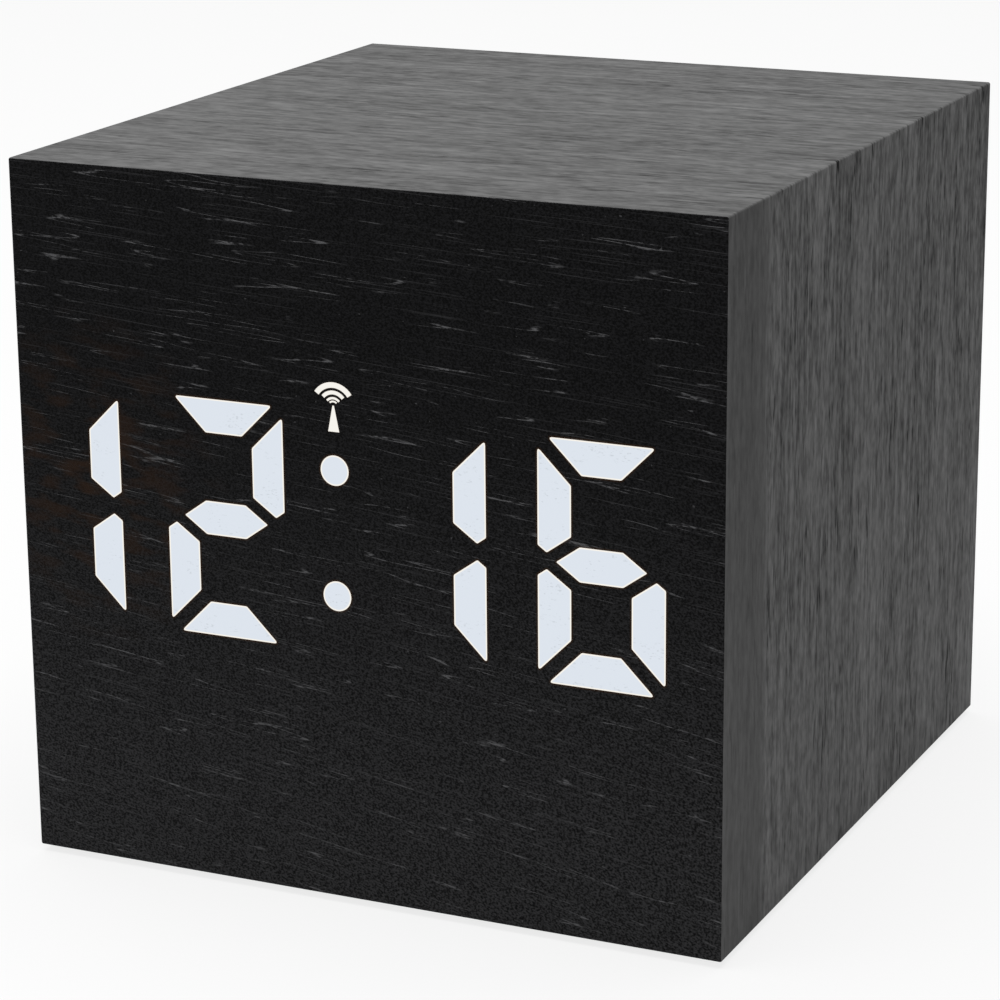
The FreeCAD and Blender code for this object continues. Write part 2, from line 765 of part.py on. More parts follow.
def make_display():
    """The display module: apertured panel, diffuser, light wells, circuit board and lamps."""
    wells = []
    well_depth = "reflector_back - (film_back)"
    for digit, (right_edge, lit_letters, dark_letters) in DIGITS.items():
        outlines = [bar_outline(letter, right_edge) for letter in lit_letters + dark_letters]
        wells.append(front_plate(digit + "_wells", "film_back", well_depth, outlines))
    wells.append(front_plate("dot_wells", "film_back", well_depth, circles=colon_circles()))
    half_sign = "sign_window_width / 2"
    sign_top = "sign_window_bottom + sign_window_height"
    wells.append(box("sign_well", (f"colon_at - {half_sign}", f"colon_at + {half_sign}"),
                     ("film_back", "reflector_back"), ("sign_window_bottom", sign_top)))

    posts = []
    pilots = []
    for x, z in display_post_places():
        depth = "reflector_back - (panel_back)"
        posts.append(rod(f"display_post{len(posts)}", "y", (x, "panel_back", z), "post_radius", depth))
        pilots.append(rod(f"display_pilot{len(pilots)}", "y", (x, "panel_back", z),
                          "small_screw_radius + screw_clearance", "display_board_back - (panel_back)"))
    plate = box("panel_plate", ("-inner_half", "inner_half"), ("film_back", "panel_back"),
                ("inner_bottom", "inner_top"))
    part("front_panel", cut("front_panel", fuse("panel_blank", [plate] + posts), wells + pilots))

    half = "(reflector_half)"
    sheet_side = ((f"-{half}", half), ("panel_back", "diffuser_back"), ("reflector_bottom", "reflector_top"))
    part("diffuser_film", box("diffuser_film", *sheet_side))
    block = box("reflector_block", (f"-{half}", half), ("diffuser_back", "reflector_back"),
                ("reflector_bottom", "reflector_top"))
    part("display_reflector", cut("display_reflector", block, wells))

    side = "(inner_half - display_board_side_gap)"
    plate = box("display_plate", (f"-{side}", side), ("reflector_back", "display_board_back"),
                ("display_board_bottom", "display_board_top"))
    holes = []
    for x, z in display_post_places():
        holes.append(rod(f"display_hole{len(holes)}", "y", (x, "reflector_back - overrun", z),
                         "small_screw_radius + screw_hole_clearance", "pcb_thickness + 2 * overrun"))
    part("display_board", cut("display_board", plate, holes))
    lamps = [lamp(number, x, z) for number, (x, z) in enumerate(lamp_places())]
    part("led_chips", group("led_chips", lamps))
    lift = "display_level + driver_lift"
    part("driver_chip", box("driver_chip", ("-driver_width / 2", "driver_width / 2"),
                            ("display_board_back", "display_board_back + driver_thickness"),
                            (f"{lift} - driver_height / 2", f"{lift} + driver_height / 2")))


def lamp_places():
    """One lamp behind the middle of each bar, dot and sign."""
    middle = {
        "a": ("digit_width / 2", "half_digit - bar_width / 2"),
        "b": ("digit_width - bar_width / 2", "half_digit / 2"),
        "c": ("digit_width - bar_width / 2", "-half_digit / 2"),
        "d": ("digit_width / 2", "-(half_digit - bar_width / 2)"),
        "e": ("bar_width / 2", "-half_digit / 2"),
        "f": ("bar_width / 2", "half_digit / 2"),
        "g": ("digit_width / 2", "0"),
    }
    places = []
    for right_edge, lit_letters, dark_letters in DIGITS.values():
        for letter in lit_letters + dark_letters:
            across, up = middle[letter]
            places.append((f"case_left + {right_edge} - digit_width + {across}", f"display_level + {up}"))
    places += [(x, z) for x, z, radius in colon_circles()]
    places.append(("colon_at", "sign_window_bottom + sign_window_height / 2"))
    return places


def lamp(number, x, z):
    return box(f"lamp{number}", (f"{x} - chip_width / 2", f"{x} + chip_width / 2"),
               ("reflector_back - chip_thickness", "reflector_back"),
               (f"{z} - chip_height / 2", f"{z} + chip_height / 2"))


def make_rear_cover():
    """The moulded cover set into the back, with its openings, speaker rim and board posts."""
    body = new_body("rear_cover")
    outline = draw(body, "XZ_Plane", ("0", "0", "-(cover_front)"),
                   [rectangle("-cover_half", "cover_half", "cover_bottom", "cover_top")])
    pad(body, outline, "cover_thickness", True)
    rim_inner = "speaker_radius + rim_clearance"
    rim = draw(body, "XZ_Plane", ("0", "0", "-(cover_front)"), circles=[
        ("0", "speaker_place", rim_inner), ("0", "speaker_place", f"{rim_inner} + rim_wall")])
    pad(body, rim, "rim_height", False)
    posts = draw(body, "XZ_Plane", ("0", "0", "-(cover_front)"), circles=[
        (x, z, radius) for x, z in control_post_places()
        for radius in ("post_radius", "small_screw_radius + screw_clearance")])
    pad(body, posts, "control_board_gap", False)
    holes = [(x, "button_place", "button_radius + button_clearance") for x in button_places().values()]
    holes += [(x, z, "large_screw_radius + screw_hole_clearance") for x, z in cover_screw_places()]
    half_slot = "(knob_width + slide_travel) / 2 + button_clearance"
    slot_rise = "knob_height / 2 + button_clearance"
    half_port = "socket_width / 2 + socket_clearance"
    port_rise = "socket_height / 2 + socket_clearance"
    row = "lower_row_place"
    openings = draw(body, "XZ_Plane", ("0", "0", "-(cover_front)"), [
        rectangle(f"slide_place - ({half_slot})", f"slide_place + {half_slot}",
                  f"{row} - ({slot_rise})", f"{row} + {slot_rise}"),
        rectangle(f"socket_place - ({half_port})", f"socket_place + {half_port}",
                  f"{row} - ({port_rise})", f"{row} + {port_rise}"),
    ], holes + [("0", "speaker_place", "grille_hole_radius")])
    pocket(body, openings, "cover_thickness + overrun")
    for ring in (1, 2, 3):
        hole = draw(body, "XZ_Plane", ("0", "speaker_place", "-(cover_front)"),
                    circles=[(f"{ring} * grille_pitch", "0", "grille_hole_radius")])
        first = pocket(body, hole, "cover_thickness + overrun")
        copies = body.newObject("PartDesign::PolarPattern", "grille_ring")
        copies.Originals = [first]
        copies.Axis = (hole, ["N_Axis"])
        copies.Angle = 360
        copies.Occurrences = 6 * ring
        body.Tip = copies
    part("rear_cover", body)


def pocket(body, sketch, length):
    """Cut a sketch through the solid behind it, and stop where it cuts nothing."""
    document.recompute()
    solid_volume = body.Shape.Volume
    feature = body.newObject("PartDesign::Pocket", body.Name + "_pocket")
    feature.Profile = sketch
    feature.setExpression("Length", ref(length))
    document.recompute()
    if body.Shape.Volume >= solid_volume:
        raise RuntimeError(f"a pocket of {body.Name} cut nothing")
    return feature


def button_places():
    """X of each push-button, named for what it does."""
    names = ("talk", "down", "up", "set")
    return {name: f"{step} * button_pitch / 2" for name, step in zip(names, (-3, -1, 1, 3))}


def make_buttons():
    """Push-button caps, the plungers that they press, and the switch housings on the board."""
    housings = []
    for name, x in button_places().items():
        origin = (x, "0", "button_place")
        cap = turned(f"{name}_button", "y", origin, [
            ("flange_front", "0"),
            ("flange_front", "flange_radius"),
            ("flange_back", "flange_radius"),
            ("flange_back", "button_radius"),
            ("button_face - button_crown", "button_radius"),
            ("button_face", "button_radius - button_crown"),
            ("button_face", "0"),
        ])
        part(f"{name}_button", cap)
        sunk = "switch_top - plunger_sunk"
        plunger = rod(f"{name}_plunger", "y", (x, sunk, "button_place"), "plunger_radius",
                      f"flange_front - ({sunk})")
        part(f"{name}_plunger", plunger)
        half = "switch_side / 2"
        housing = box(f"{name}_housing", (f"{x} - {half}", f"{x} + {half}"), ("control_back", "switch_top"),
                      (f"button_place - {half}", f"button_place + {half}"))
        floor = f"{sunk} - button_travel - plunger_clearance"
        bore = rod(f"{name}_bore", "y", (x, floor, "button_place"), "plunger_radius + plunger_clearance",
                   f"switch_top - ({floor}) + overrun")
        housings.append(cut(f"{name}_switch", housing, [bore]))
    part("switch_housings", group("switch_housings", housings))


def centred(middle, width, height, depth):
    """The spans of a block round a place of the lower row of controls."""
    row = "lower_row_place"
    return ((f"{middle} - ({width}) / 2", f"{middle} + ({width}) / 2"), depth,
            (f"{row} - ({height}) / 2", f"{row} + ({height}) / 2"))


def make_slide_switch():
    """Sound level switch: a housing with a stepped track, and the knob whose foot runs in it."""
    shell = box("slide_shell", *centred("slide_place", "slide_body_width", "slide_body_height",
                                        ("control_back", "slide_top")))
    play = "2 * slide_clearance"
    track = box("slide_track", *centred(
        "slide_place", f"knob_foot_width + slide_travel + {play}", f"knob_foot_height + {play}",
        ("control_back + slide_floor", "slide_top - slide_lip")))
    mouth = box("slide_mouth", *centred(
        "slide_place", f"knob_width + slide_travel + {play}", f"knob_height + {play}",
        ("slide_top - slide_lip - overrun / 2", "slide_top + overrun")))
    part("slide_housing", cut("slide_housing", shell, [fuse("slide_hollow", [track, mouth])]))
    at = "slide_place - slide_travel / 2"
    foot = box("knob_foot", *centred(at, "knob_foot_width", "knob_foot_height",
                                     ("knob_foot_bottom", "knob_foot_top")))
    stem = box("knob_stem", *centred(at, "knob_width", "knob_height",
                                     ("knob_foot_top", "cover_back + knob_proud")))
    part("slide_knob", fuse("slide_knob", [foot, stem]))


def make_socket():
    """Power socket: a folded steel shell on a moulded base with a contact tongue."""
    row = "lower_row_place"

    def ring(inset):
        half = f"(socket_width / 2 - {inset})"
        base = f"(socket_base_width / 2 - {inset})"
        top = f"{row} + socket_height / 2 - {inset}"
        knee = f"{row} - socket_height / 2 + socket_slope_height"
        low = f"{row} - socket_height / 2 + {inset}"
        return [(f"socket_place - {half}", top), (f"socket_place - {half}", knee),
                (f"socket_place - {base}", low), (f"socket_place + {base}", low),
                (f"socket_place + {half}", knee), (f"socket_place + {half}", top)]

    shell = front_plate("socket_shell", "control_back", "socket_depth", [ring("0"), ring("socket_wall")])
    part("socket_shell", shell)
    base = front_plate("socket_base", "control_back", "socket_floor", [ring("socket_wall")])
    blade = box("socket_blade", *centred("socket_place", "tongue_width", "tongue_height",
                                         ("control_back", "control_back + socket_floor + tongue_length")))
    part("socket_tongue", fuse("socket_tongue", [base, blade]))


def make_control_board():
    """The control board with the parts on its front face and the flat cable to the display."""
    half = "control_board_width / 2"
    plate = box("control_plate", (f"-{half}", half), ("control_front", "control_back"),
                ("control_board_bottom", "control_top"))
    holes = []
    for x, z in control_post_places():
        holes.append(rod(f"control_hole{len(holes)}", "y", (x, "control_front - overrun", z),
                         "small_screw_radius + screw_hole_clearance", "pcb_thickness + 2 * overrun"))
    part("control_board", cut("control_board", plate, holes))

    middle = "(control_board_bottom + control_board_height / 2)"
    chip = "voice_chip_side / 2"
    part("voice_chip", box("voice_chip", (f"voice_chip_place - {chip}", f"voice_chip_place + {chip}"),
                           ("control_front - voice_chip_thickness", "control_front"),
                           (f"{middle} - {chip}", f"{middle} + {chip}")))
    cans = []
    for side in "-+":
        level = f"{middle} {side} capacitor_pitch / 2"
        start = ("capacitor_place", "control_front - capacitor_length", level)
        cans.append(rod(f"capacitor{len(cans)}", "y", start, "capacitor_radius", "capacitor_length"))
    part("capacitors", group("capacitors", cans))
    sensor_start = ("-sensor_length / 2", "control_front - sensor_radius",
                    "tray_top + sensor_tray_gap + sensor_radius")
    part("tap_sensor", rod("tap_sensor", "x", sensor_start, "sensor_radius", "sensor_length"))

    across = ("-header_width / 2", "header_width / 2")
    up = ("cable_place - header_height / 2", "cable_place + header_height / 2")
    headers = [
        box("display_header", across, ("display_board_back", "display_header_back"), up),
        box("control_header", across, ("control_header_front", "control_front"), up),
    ]
    part("cable_headers", group("cable_headers", headers))
    bend = "cable_place + cable_bend - cable_sag"
    centre = ("-cable_width / 2", "(display_header_back + control_header_front) / 2", bend)
    outer = rod("cable_outer", "x", centre, "cable_bend + cable_thickness / 2", "cable_width")
    inner = rod("cable_inner", "x", centre, "cable_bend - cable_thickness / 2", "cable_width")
    ring = cut("cable_ring", outer, [inner])
    window = box("cable_window", ("-cable_width / 2", "cable_width / 2"),
                 ("display_header_back", "control_header_front"),
                 ("cable_place - 2 * cable_sag", "cable_place + header_height / 2"))
    cable = document.addObject("Part::Common", "display_cable")
    cable.Base = ring
    cable.Tool = window
    part("display_cable", cable)


def make_aerial():
    """Ferrite rod with its coil, in two clips under the top board."""
    start = ("-(rod_half)", "rod_place_back", "rod_place_up")
    part("ferrite_rod", rod("ferrite_rod", "x", start, "rod_radius", "2 * (rod_half)"))
    coil_start = ("-coil_length / 2", "rod_place_back", "rod_place_up")
    outer = rod("coil_outer", "x", coil_start, "coil_radius", "coil_length")
    inner = rod("coil_inner", "x", coil_start, "rod_radius", "coil_length")
    part("aerial_coil", cut("aerial_coil", outer, [inner]))
    clips = []
    reach = "rod_radius + clip_clearance + clip_wall"
    for side in "-+":
        middle = f"{side}(rod_half - clip_inset)"
        width = "clip_width / 2"
        block = box(f"clip_block{len(clips)}", (f"{middle} - {width}", f"{middle} + {width}"),
                    (f"rod_place_back - ({reach})", f"rod_place_back + {reach}"),
                    (f"rod_place_up - ({reach})", "inner_top"))
        bore_start = (f"{middle} - clip_width", "rod_place_back", "rod_place_up")
        bore = rod(f"clip_bore{len(clips)}", "x", bore_start, "rod_radius + clip_clearance",
                   "2 * clip_width")
        clips.append(cut(f"aerial_clip{len(clips)}", block, [bore]))
    part("aerial_clips", group("aerial_clips", clips))


def make_speaker():
    """Speaker with its frame, magnet, moving cone, voice coil and soft surround."""
    origin = ("0", "0", "speaker_place")
    edge = "speaker_radius"
    part("speaker_gasket", turned("speaker_gasket", "y", origin, [
        ("gasket_front", f"{edge} - gasket_width"), ("gasket_front", edge),
        ("cover_front", edge), ("cover_front", f"{edge} - gasket_width")]))
    part("speaker_frame", turned("speaker_frame", "y", origin, [
        ("gasket_front", edge),
        ("gasket_front", "frame_mouth_radius"),
        ("frame_front", "frame_mouth_radius"),
        ("magnet_top", "frame_base_radius"),
        ("magnet_top", "magnet_radius"),
        ("frame_base", "magnet_radius"),
        ("frame_base", "frame_base_radius + frame_wall"),
        ("frame_front", "frame_mouth_radius + frame_wall"),
        ("frame_front", edge),
    ]))
    part("speaker_magnet", turned("speaker_magnet", "y", origin, [
        ("magnet_front", "0"),
        ("magnet_front", "magnet_radius"),
        ("magnet_top", "magnet_radius"),
        ("magnet_top", "gap_outer_radius"),
        ("gap_floor", "gap_outer_radius"),
        ("gap_floor", "gap_inner_radius"),
        ("magnet_top", "gap_inner_radius"),
        ("magnet_top", "0"),
    ]))
    part("voice_coil", turned("voice_coil", "y", origin, [
        ("magnet_top - voice_coil_sunk", "voice_coil_inner"),
        ("magnet_top - voice_coil_sunk", "voice_coil_outer"),
        ("cone_low", "voice_coil_outer"),
        ("cone_low", "voice_coil_inner"),
    ]))
    part("speaker_cone", turned("speaker_cone", "y", origin, [
        ("cone_low + dome_rise", "0"),
        ("cone_low + dome_rise * cos(45)", "voice_coil_inner * sin(45)"),
        ("cone_low", "voice_coil_inner"),
        ("cone_low", "voice_coil_outer"),
        ("cone_high", "cone_radius"),
        ("cone_high + cone_wall", "cone_radius"),
        ("cone_low + cone_wall", "voice_coil_outer - cone_wall / 2"),
        ("cone_low + dome_rise * cos(45) + cone_wall", "voice_coil_inner * sin(45)"),
        ("cone_low + dome_rise + cone_wall", "0"),
    ]))
    mid = "(cone_radius + frame_mouth_radius) / 2"
    part("speaker_surround", turned("speaker_surround", "y", origin, [
        ("cone_high", "cone_radius"),
        ("cone_high", "frame_mouth_radius"),
        ("cone_high + cone_wall", "frame_mouth_radius"),
        ("cone_high + cone_wall + surround_bulge", mid),
        ("cone_high + cone_wall", "cone_radius"),
    ]))


def cell_places():
    """Y of the three cells, and the side that each one's nub points to."""
    return [("tray_place - (2 * cell_radius + cell_gap)", "+"), ("tray_place", "-"),
            ("tray_place + 2 * cell_radius + cell_gap", "+")]


def make_battery_bay():
    """Tray, contacts and cells, with the tray's rim flush in the underside of the case."""
    spans_x = ("-tray_half", "tray_half")
    outer = box("tray_outer", spans_x, ("tray_front", "tray_back"), ("case_bottom", "tray_top"))
    lip = "tray_flange_width"
    flange = box("tray_flange_plate", (f"-(tray_half + {lip})", f"tray_half + {lip}"),
                 (f"tray_front - {lip}", f"tray_back + {lip}"),
                 ("inner_bottom", "inner_bottom + tray_flange"))
    ears = []
    holes = []
    for x, y in ear_places():
        half = "ear_width / 2"
        ears.append(box(f"ear{len(ears)}", (f"{x} - {half}", f"{x} + {half}"),
                        (f"{y} - ear_length / 2", f"{y} + ear_length / 2"),
                        ("inner_bottom", "inner_bottom + tray_flange")))
        holes.append(rod(f"ear_hole{len(holes)}", "z", (x, y, "inner_bottom - overrun"),
                         "small_screw_radius + screw_hole_clearance", "tray_flange + 2 * overrun"))
    hollow = box("tray_hollow", ("-tray_hollow_half", "tray_hollow_half"),
                 ("tray_hollow_front", "tray_hollow_back"), ("case_bottom - overrun", "tray_roof_under"))
    bore_reach = "tray_half + overrun"
    bore = rod("hinge_bore", "x", (f"-({bore_reach})", "hinge_line", "hinge_level"),
               "hinge_pin_radius + hinge_clearance", f"2 * ({bore_reach})")
    blank = fuse("tray_blank", [outer, flange] + ears)
    emptied = fuse("tray_emptied", [hollow, bore])
    part("battery_tray", cut("battery_tray", blank, [emptied] + holes))

    cells, plates, leaves = [], [], []
    for y, nub_side in cell_places():
        tail = "-" if nub_side == "+" else "+"
        nub_end = f"{nub_side}(tray_hollow_half - contact_plate)"
        shoulder = f"{nub_side}(tray_hollow_half - contact_plate - cell_nub_length)"
        base = f"{tail}(tray_hollow_half - leaf_reach)"
        cells.append(turned(f"cell{len(cells)}", "x", ("0", y, "cell_level"), [
            (nub_end, "0"),
            (nub_end, "cell_nub_radius"),
            (shoulder, "cell_nub_radius"),
            (shoulder, "cell_radius - cell_edge"),
            (f"{shoulder} {tail} cell_edge", "cell_radius"),
            (f"{base} {nub_side} cell_edge", "cell_radius"),
            (base, "cell_radius - cell_edge"),
            (base, "0"),
        ]))
        half = "contact_side / 2"
        wall_to_plate = sorted((f"{nub_side}tray_hollow_half", nub_end), key=val)
        plates.append(box(f"plate{len(plates)}", wall_to_plate, (f"{y} - {half}", f"{y} + {half}"),
                          (f"cell_level - {half}", f"cell_level + {half}")))
        leaves.append(make_leaf(f"leaf{len(leaves)}", y, tail))
    part("batteries", group("batteries", cells))
    part("positive_contacts", group("positive_contacts", plates))
    part("negative_contacts", group("negative_contacts", leaves))


def make_leaf(name, y, side):
    """A bowed leaf contact: a strip on the tray's wall whose bow presses on the cell."""
    wall = "tray_hollow_half"

    def place(off_wall, along_wall):
        return (f"{side}({wall} - ({off_wall}))", f"{y} + ({along_wall})")

    thin = "leaf_thickness"
    outer = [("0", "-contact_side / 2"), (thin, "-contact_side / 2"), (thin, "-leaf_span / 2"),
             ("leaf_reach", "-leaf_tip / 2"), ("leaf_reach", "leaf_tip / 2"), (thin, "leaf_span / 2"),
             (thin, "contact_side / 2"), ("0", "contact_side / 2")]
    inner = [(thin, f"-(leaf_span / 2 - 2 * {thin})"), (f"leaf_reach - {thin}", "-leaf_tip / 4"),
             (f"leaf_reach - {thin}", "leaf_tip / 4"), (thin, f"leaf_span / 2 - 2 * {thin}")]
    body = new_body(name)
    half = "contact_side / 2"
    sketch = draw(body, "XY_Plane", ("0", "0", f"cell_level - {half}"),
                  [[place(u, v) for u, v in outer], [place(u, v) for u, v in inner]])
    pad(body, sketch, "contact_side", False)
    return body


def make_door():
    """The battery door: a plate with a round front edge, a hinge pin on each side, and a thumb scoop."""
    pin_half = "door_half + hinge_pin_length"
    edge = rod("door_edge", "x", ("-door_half", "hinge_line", "hinge_level"), "door_thickness / 2",
               "2 * door_half")
    pins = rod("door_pins", "x", (f"-({pin_half})", "hinge_line", "hinge_level"), "hinge_pin_radius",
               f"2 * ({pin_half})")
    plate = box("door_plate", ("-door_half", "door_half"),
                ("hinge_line", "tray_hollow_back - door_clearance"), ("door_bottom", "door_top"))
    back = "tray_hollow_back - door_clearance - scoop_border"
    scoop = box("door_scoop", ("-scoop_width / 2", "scoop_width / 2"), (f"{back} - scoop_length", back),
                ("door_bottom - overrun", "door_bottom + scoop_depth"))
    part("battery_door", cut("battery_door", fuse("door_blank", [plate, edge, pins]), [scoop]))


make_numerals()
make_signs()
make_case()
make_display()
make_rear_cover()
make_buttons()
make_slide_switch()
make_socket()
make_control_board()
make_aerial()
make_speaker()
make_battery_bay()
make_door()
make_screws()
document.recompute()

for item in document.Objects:
    if "Invalid" in item.State or "Error" in item.State:
        raise RuntimeError(f"{item.Label} did not rebuild: {item.State}")
for name, item in PARTS.items():
    if item.Shape.isNull() or not item.Shape.isValid() or not item.Shape.Solids:
        raise RuntimeError(f"{name} has no valid solid")

os.makedirs("parts", exist_ok=True)
for name, item in PARTS.items():
    item.Shape.exportStep(f"parts/{name}.step")
print(len(PARTS), "sub-parts")
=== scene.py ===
"""Talking clock: a folded board cube in wood-grain film, its lit numerals, and the controls on its back."""
import math

import bmesh
import bpy
import numpy as np
from mathutils.geometry import delaunay_2d_cdt
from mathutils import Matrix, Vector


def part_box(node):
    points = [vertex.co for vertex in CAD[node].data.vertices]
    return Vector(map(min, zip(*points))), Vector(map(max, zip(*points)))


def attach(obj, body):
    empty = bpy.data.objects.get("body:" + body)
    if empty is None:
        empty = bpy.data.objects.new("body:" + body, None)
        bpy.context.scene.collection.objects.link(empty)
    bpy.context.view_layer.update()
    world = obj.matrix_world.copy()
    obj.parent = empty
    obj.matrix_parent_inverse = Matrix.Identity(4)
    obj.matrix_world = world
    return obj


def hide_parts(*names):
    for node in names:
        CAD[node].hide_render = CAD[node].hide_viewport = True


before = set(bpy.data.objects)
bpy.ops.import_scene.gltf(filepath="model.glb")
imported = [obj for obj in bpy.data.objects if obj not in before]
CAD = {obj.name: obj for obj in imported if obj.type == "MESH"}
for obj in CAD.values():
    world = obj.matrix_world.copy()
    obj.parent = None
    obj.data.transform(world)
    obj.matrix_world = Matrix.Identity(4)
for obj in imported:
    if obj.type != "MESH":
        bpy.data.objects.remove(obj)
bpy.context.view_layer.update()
MM = 0.001


def corner_box(node):
    """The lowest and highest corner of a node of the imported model, in millimetres."""
    low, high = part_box(node)
    return np.array(low) / MM, np.array(high) / MM


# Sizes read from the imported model, in millimetres
WRAP_LOW, WRAP_HIGH = corner_box("skin_wrap")
HALF_WIDTH, CASE_LOW, CASE_HIGH, REAR = WRAP_HIGH[0], WRAP_LOW[2], WRAP_HIGH[2], WRAP_HIGH[1]
FRONT = corner_box("front_film")[0][1]
FILM = corner_box("front_film")[1][1] - FRONT
COVER_FACE = corner_box("rear_cover")[1][1]
# Rounding of the film at the front and the long edges, at the rear edge, and the least there is
EDGE_ROUND, REAR_ROUND, LEAST_ROUND = 0.2, 0.15, 0.02
# The battery mouth in the wrap: half its width, its front end and its rear end
MOUTH_HALF = corner_box("positive_contacts")[1][0] + 2.0
MOUTH_FRONT, MOUTH_BACK = -18.95, 17.95


# Shapes

# Points along the curve that rounds a corner, and round a turned form
CURVE_POINTS, CIRCLE_POINTS = 6, 72
# In metres: points nearer than this are one, shorter sides are dropped, and triangles of a node meet
SAME_POINT, NO_LENGTH, NODE_POINT = 2e-7, 1e-7, 1e-6


def piece(name, body, points, faces, material, sharp=30.0, replaces=(), marks=None):
    """A mesh object from points in millimetres and lists of point numbers. Points that fall together are merged,
    faces are turned outwards, and shading is smooth wherever two faces meet at less than the sharp angle. Marks
    are values from 0 to 1 at the points, kept as attributes that the materials read."""
    mesh = bpy.data.meshes.new(name)
    mesh.from_pydata((np.asarray(points, float).reshape(-1, 3) * MM).tolist(), [], faces)
    for mark, values in (marks or {}).items():
        layer = mesh.attributes.new(mark, "FLOAT", "POINT")
        layer.data.foreach_set("value", np.asarray(values, np.float32).ravel())
    work = bmesh.new()
    work.from_mesh(mesh)
    bmesh.ops.remove_doubles(work, verts=work.verts, dist=SAME_POINT)
    bmesh.ops.dissolve_degenerate(work, edges=work.edges, dist=NO_LENGTH)
    bmesh.ops.recalc_face_normals(work, faces=work.faces)
    work.to_mesh(mesh)
    work.free()
    dress(name, body, mesh, material, sharp, replaces)


def dress(name, body, mesh, material, sharp, replaces=()):
    """Put a finished mesh into the scene with its material, on the body that carries it."""
    mesh.shade_smooth()
    mesh.set_sharp_from_angle(angle=math.radians(sharp))
    mesh.materials.clear()
    mesh.materials.append(material)
    item = bpy.data.objects.new(name, mesh)
    bpy.context.scene.collection.objects.link(item)
    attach(item, body)
    if replaces:
        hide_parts(*replaces)
    return item


def joined_copy(node):
    """A copy of a node's mesh with its loose triangles merged and its flat faces joined into whole ones."""
    mesh = CAD[node].data.copy()
    work = bmesh.new()
    work.from_mesh(mesh)
    bmesh.ops.remove_doubles(work, verts=work.verts, dist=NODE_POINT)
    bmesh.ops.dissolve_limit(work, angle_limit=math.radians(1), verts=work.verts, edges=work.edges)
    work.to_mesh(mesh)
    work.free()
    return mesh


def eased_edges(node, body, width, material):
    """The node's own shape with every edge sharper than 38 degrees cut back and rounded by a width in
    millimetres, as a mould or a sanding block leaves it."""
    angle = 38.0
    item = dress(node + "_eased", body, joined_copy(node), material, angle, (node,))
    bevel = item.modifiers.new("eased_edge", "BEVEL")
    bevel.width = width * MM
    bevel.segments = 2
    bevel.limit_method = "ANGLE"
    bevel.angle_limit = math.radians(angle)
    bevel.use_clamp_overlap = True
    item.modifiers.new("even_shading", "WEIGHTED_NORMAL").keep_sharp = True


def ring_faces(rings, count):
    """Four-sided faces between closed rings of points, numbered ring by ring: cell (r, c) joins points (r, c),
    (r + 1, c), (r + 1, c + 1) and (r, c + 1), and the last point of a ring is followed by its first."""
    number = np.arange(rings * count).reshape(rings, count)
    number = np.hstack([number, number[:, :1]])
    cells = np.stack([number[:-1, :-1], number[1:, :-1], number[1:, 1:], number[:-1, 1:]], -1)
    return cells.reshape(-1, 4).tolist()


def rounded(corners, radii):
    """A line through corners, each cut back by its radius along both its sides and bridged by the curve
    (1 - t)^2 * before + 2 t (1 - t) * corner + t^2 * after, for t from 0 to 1."""
    corners = np.array(corners, float)
    t = np.linspace(0, 1, CURVE_POINTS)[:, None]
    line = []
    for number, radius in enumerate(radii):
        corner = corners[number]
        if radius == 0:
            line.append(corner[None])
            continue
        back = corners[number - 1] - corner
        on = corners[(number + 1) % len(corners)] - corner
        before = corner + back * radius / np.hypot(*back)
        after = corner + on * radius / np.hypot(*on)
        line.append((1 - t) ** 2 * before + 2 * t * (1 - t) * corner + t ** 2 * after)
    return np.concatenate(line)


def turned(profile, centre, along="y", count=CIRCLE_POINTS):
    """A turned form: each (step, radius) of the profile becomes the circle centre + step * axis
    + radius * (cos a, sin a) across the axis, for a from 0 to 360 degrees."""
    step, radius = np.asarray(profile, float).T
    angle = np.linspace(0, 2 * np.pi, count, endpoint=False)
    level = np.broadcast_to(step[:, None], (len(step), count))
    one, two = radius[:, None] * np.cos(angle), radius[:, None] * np.sin(angle)
    parts = {"x": (level, one, two), "y": (one, level, two), "z": (one, two, level)}[along]
    return np.stack(parts, -1) + np.asarray(centre, float), ring_faces(len(step), count)


def inward(loop, distance):
    """A closed loop of points moved in by a distance: each point goes along d * (n1 + n2) / (1 + n1 . n2), with n1
    and n2 the inward normals of its two sides. A loop runs anticlockwise; a negative distance moves it out."""
    side = np.roll(loop, -1, axis=0) - loop
    side /= np.linalg.norm(side, axis=1)[:, None]
    normal = np.stack([-side[:, 1], side[:, 0]], -1)
    before = np.roll(normal, 1, axis=0)
    return loop + distance * (normal + before) / (1 + (normal * before).sum(1))[:, None]


def anticlockwise(loop):
    """The loop with its signed area, half the sum of x1 * z2 - x2 * z1, made positive."""
    after = np.roll(loop, -1, axis=0)
    return loop if (loop[:, 0] * after[:, 1] - after[:, 0] * loop[:, 1]).sum() > 0 else loop[::-1]


def front_outlines(node):
    """The outline of each face of a node that looks forward and lies within 0.01 mm of its front, as points
    (x, z) in millimetres."""
    mesh = joined_copy(node)
    flat = np.array([vertex.co for vertex in mesh.vertices])[:, [0, 2]] / MM
    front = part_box(node)[0].y + 0.01 * MM
    loops = [
        anticlockwise(flat[list(face.vertices)]) for face in mesh.polygons
        if face.normal.y < -0.99 and face.center.y < front
    ]
    bpy.data.meshes.remove(mesh)
    return loops


def circle(x, z, radius):
    """Points (x + r cos a, z + r sin a) for a from 0 to 360 degrees."""
    angle = np.linspace(0, 2 * np.pi, CIRCLE_POINTS, endpoint=False)
    return np.stack([x + radius * np.cos(angle), z + radius * np.sin(angle)], -1)


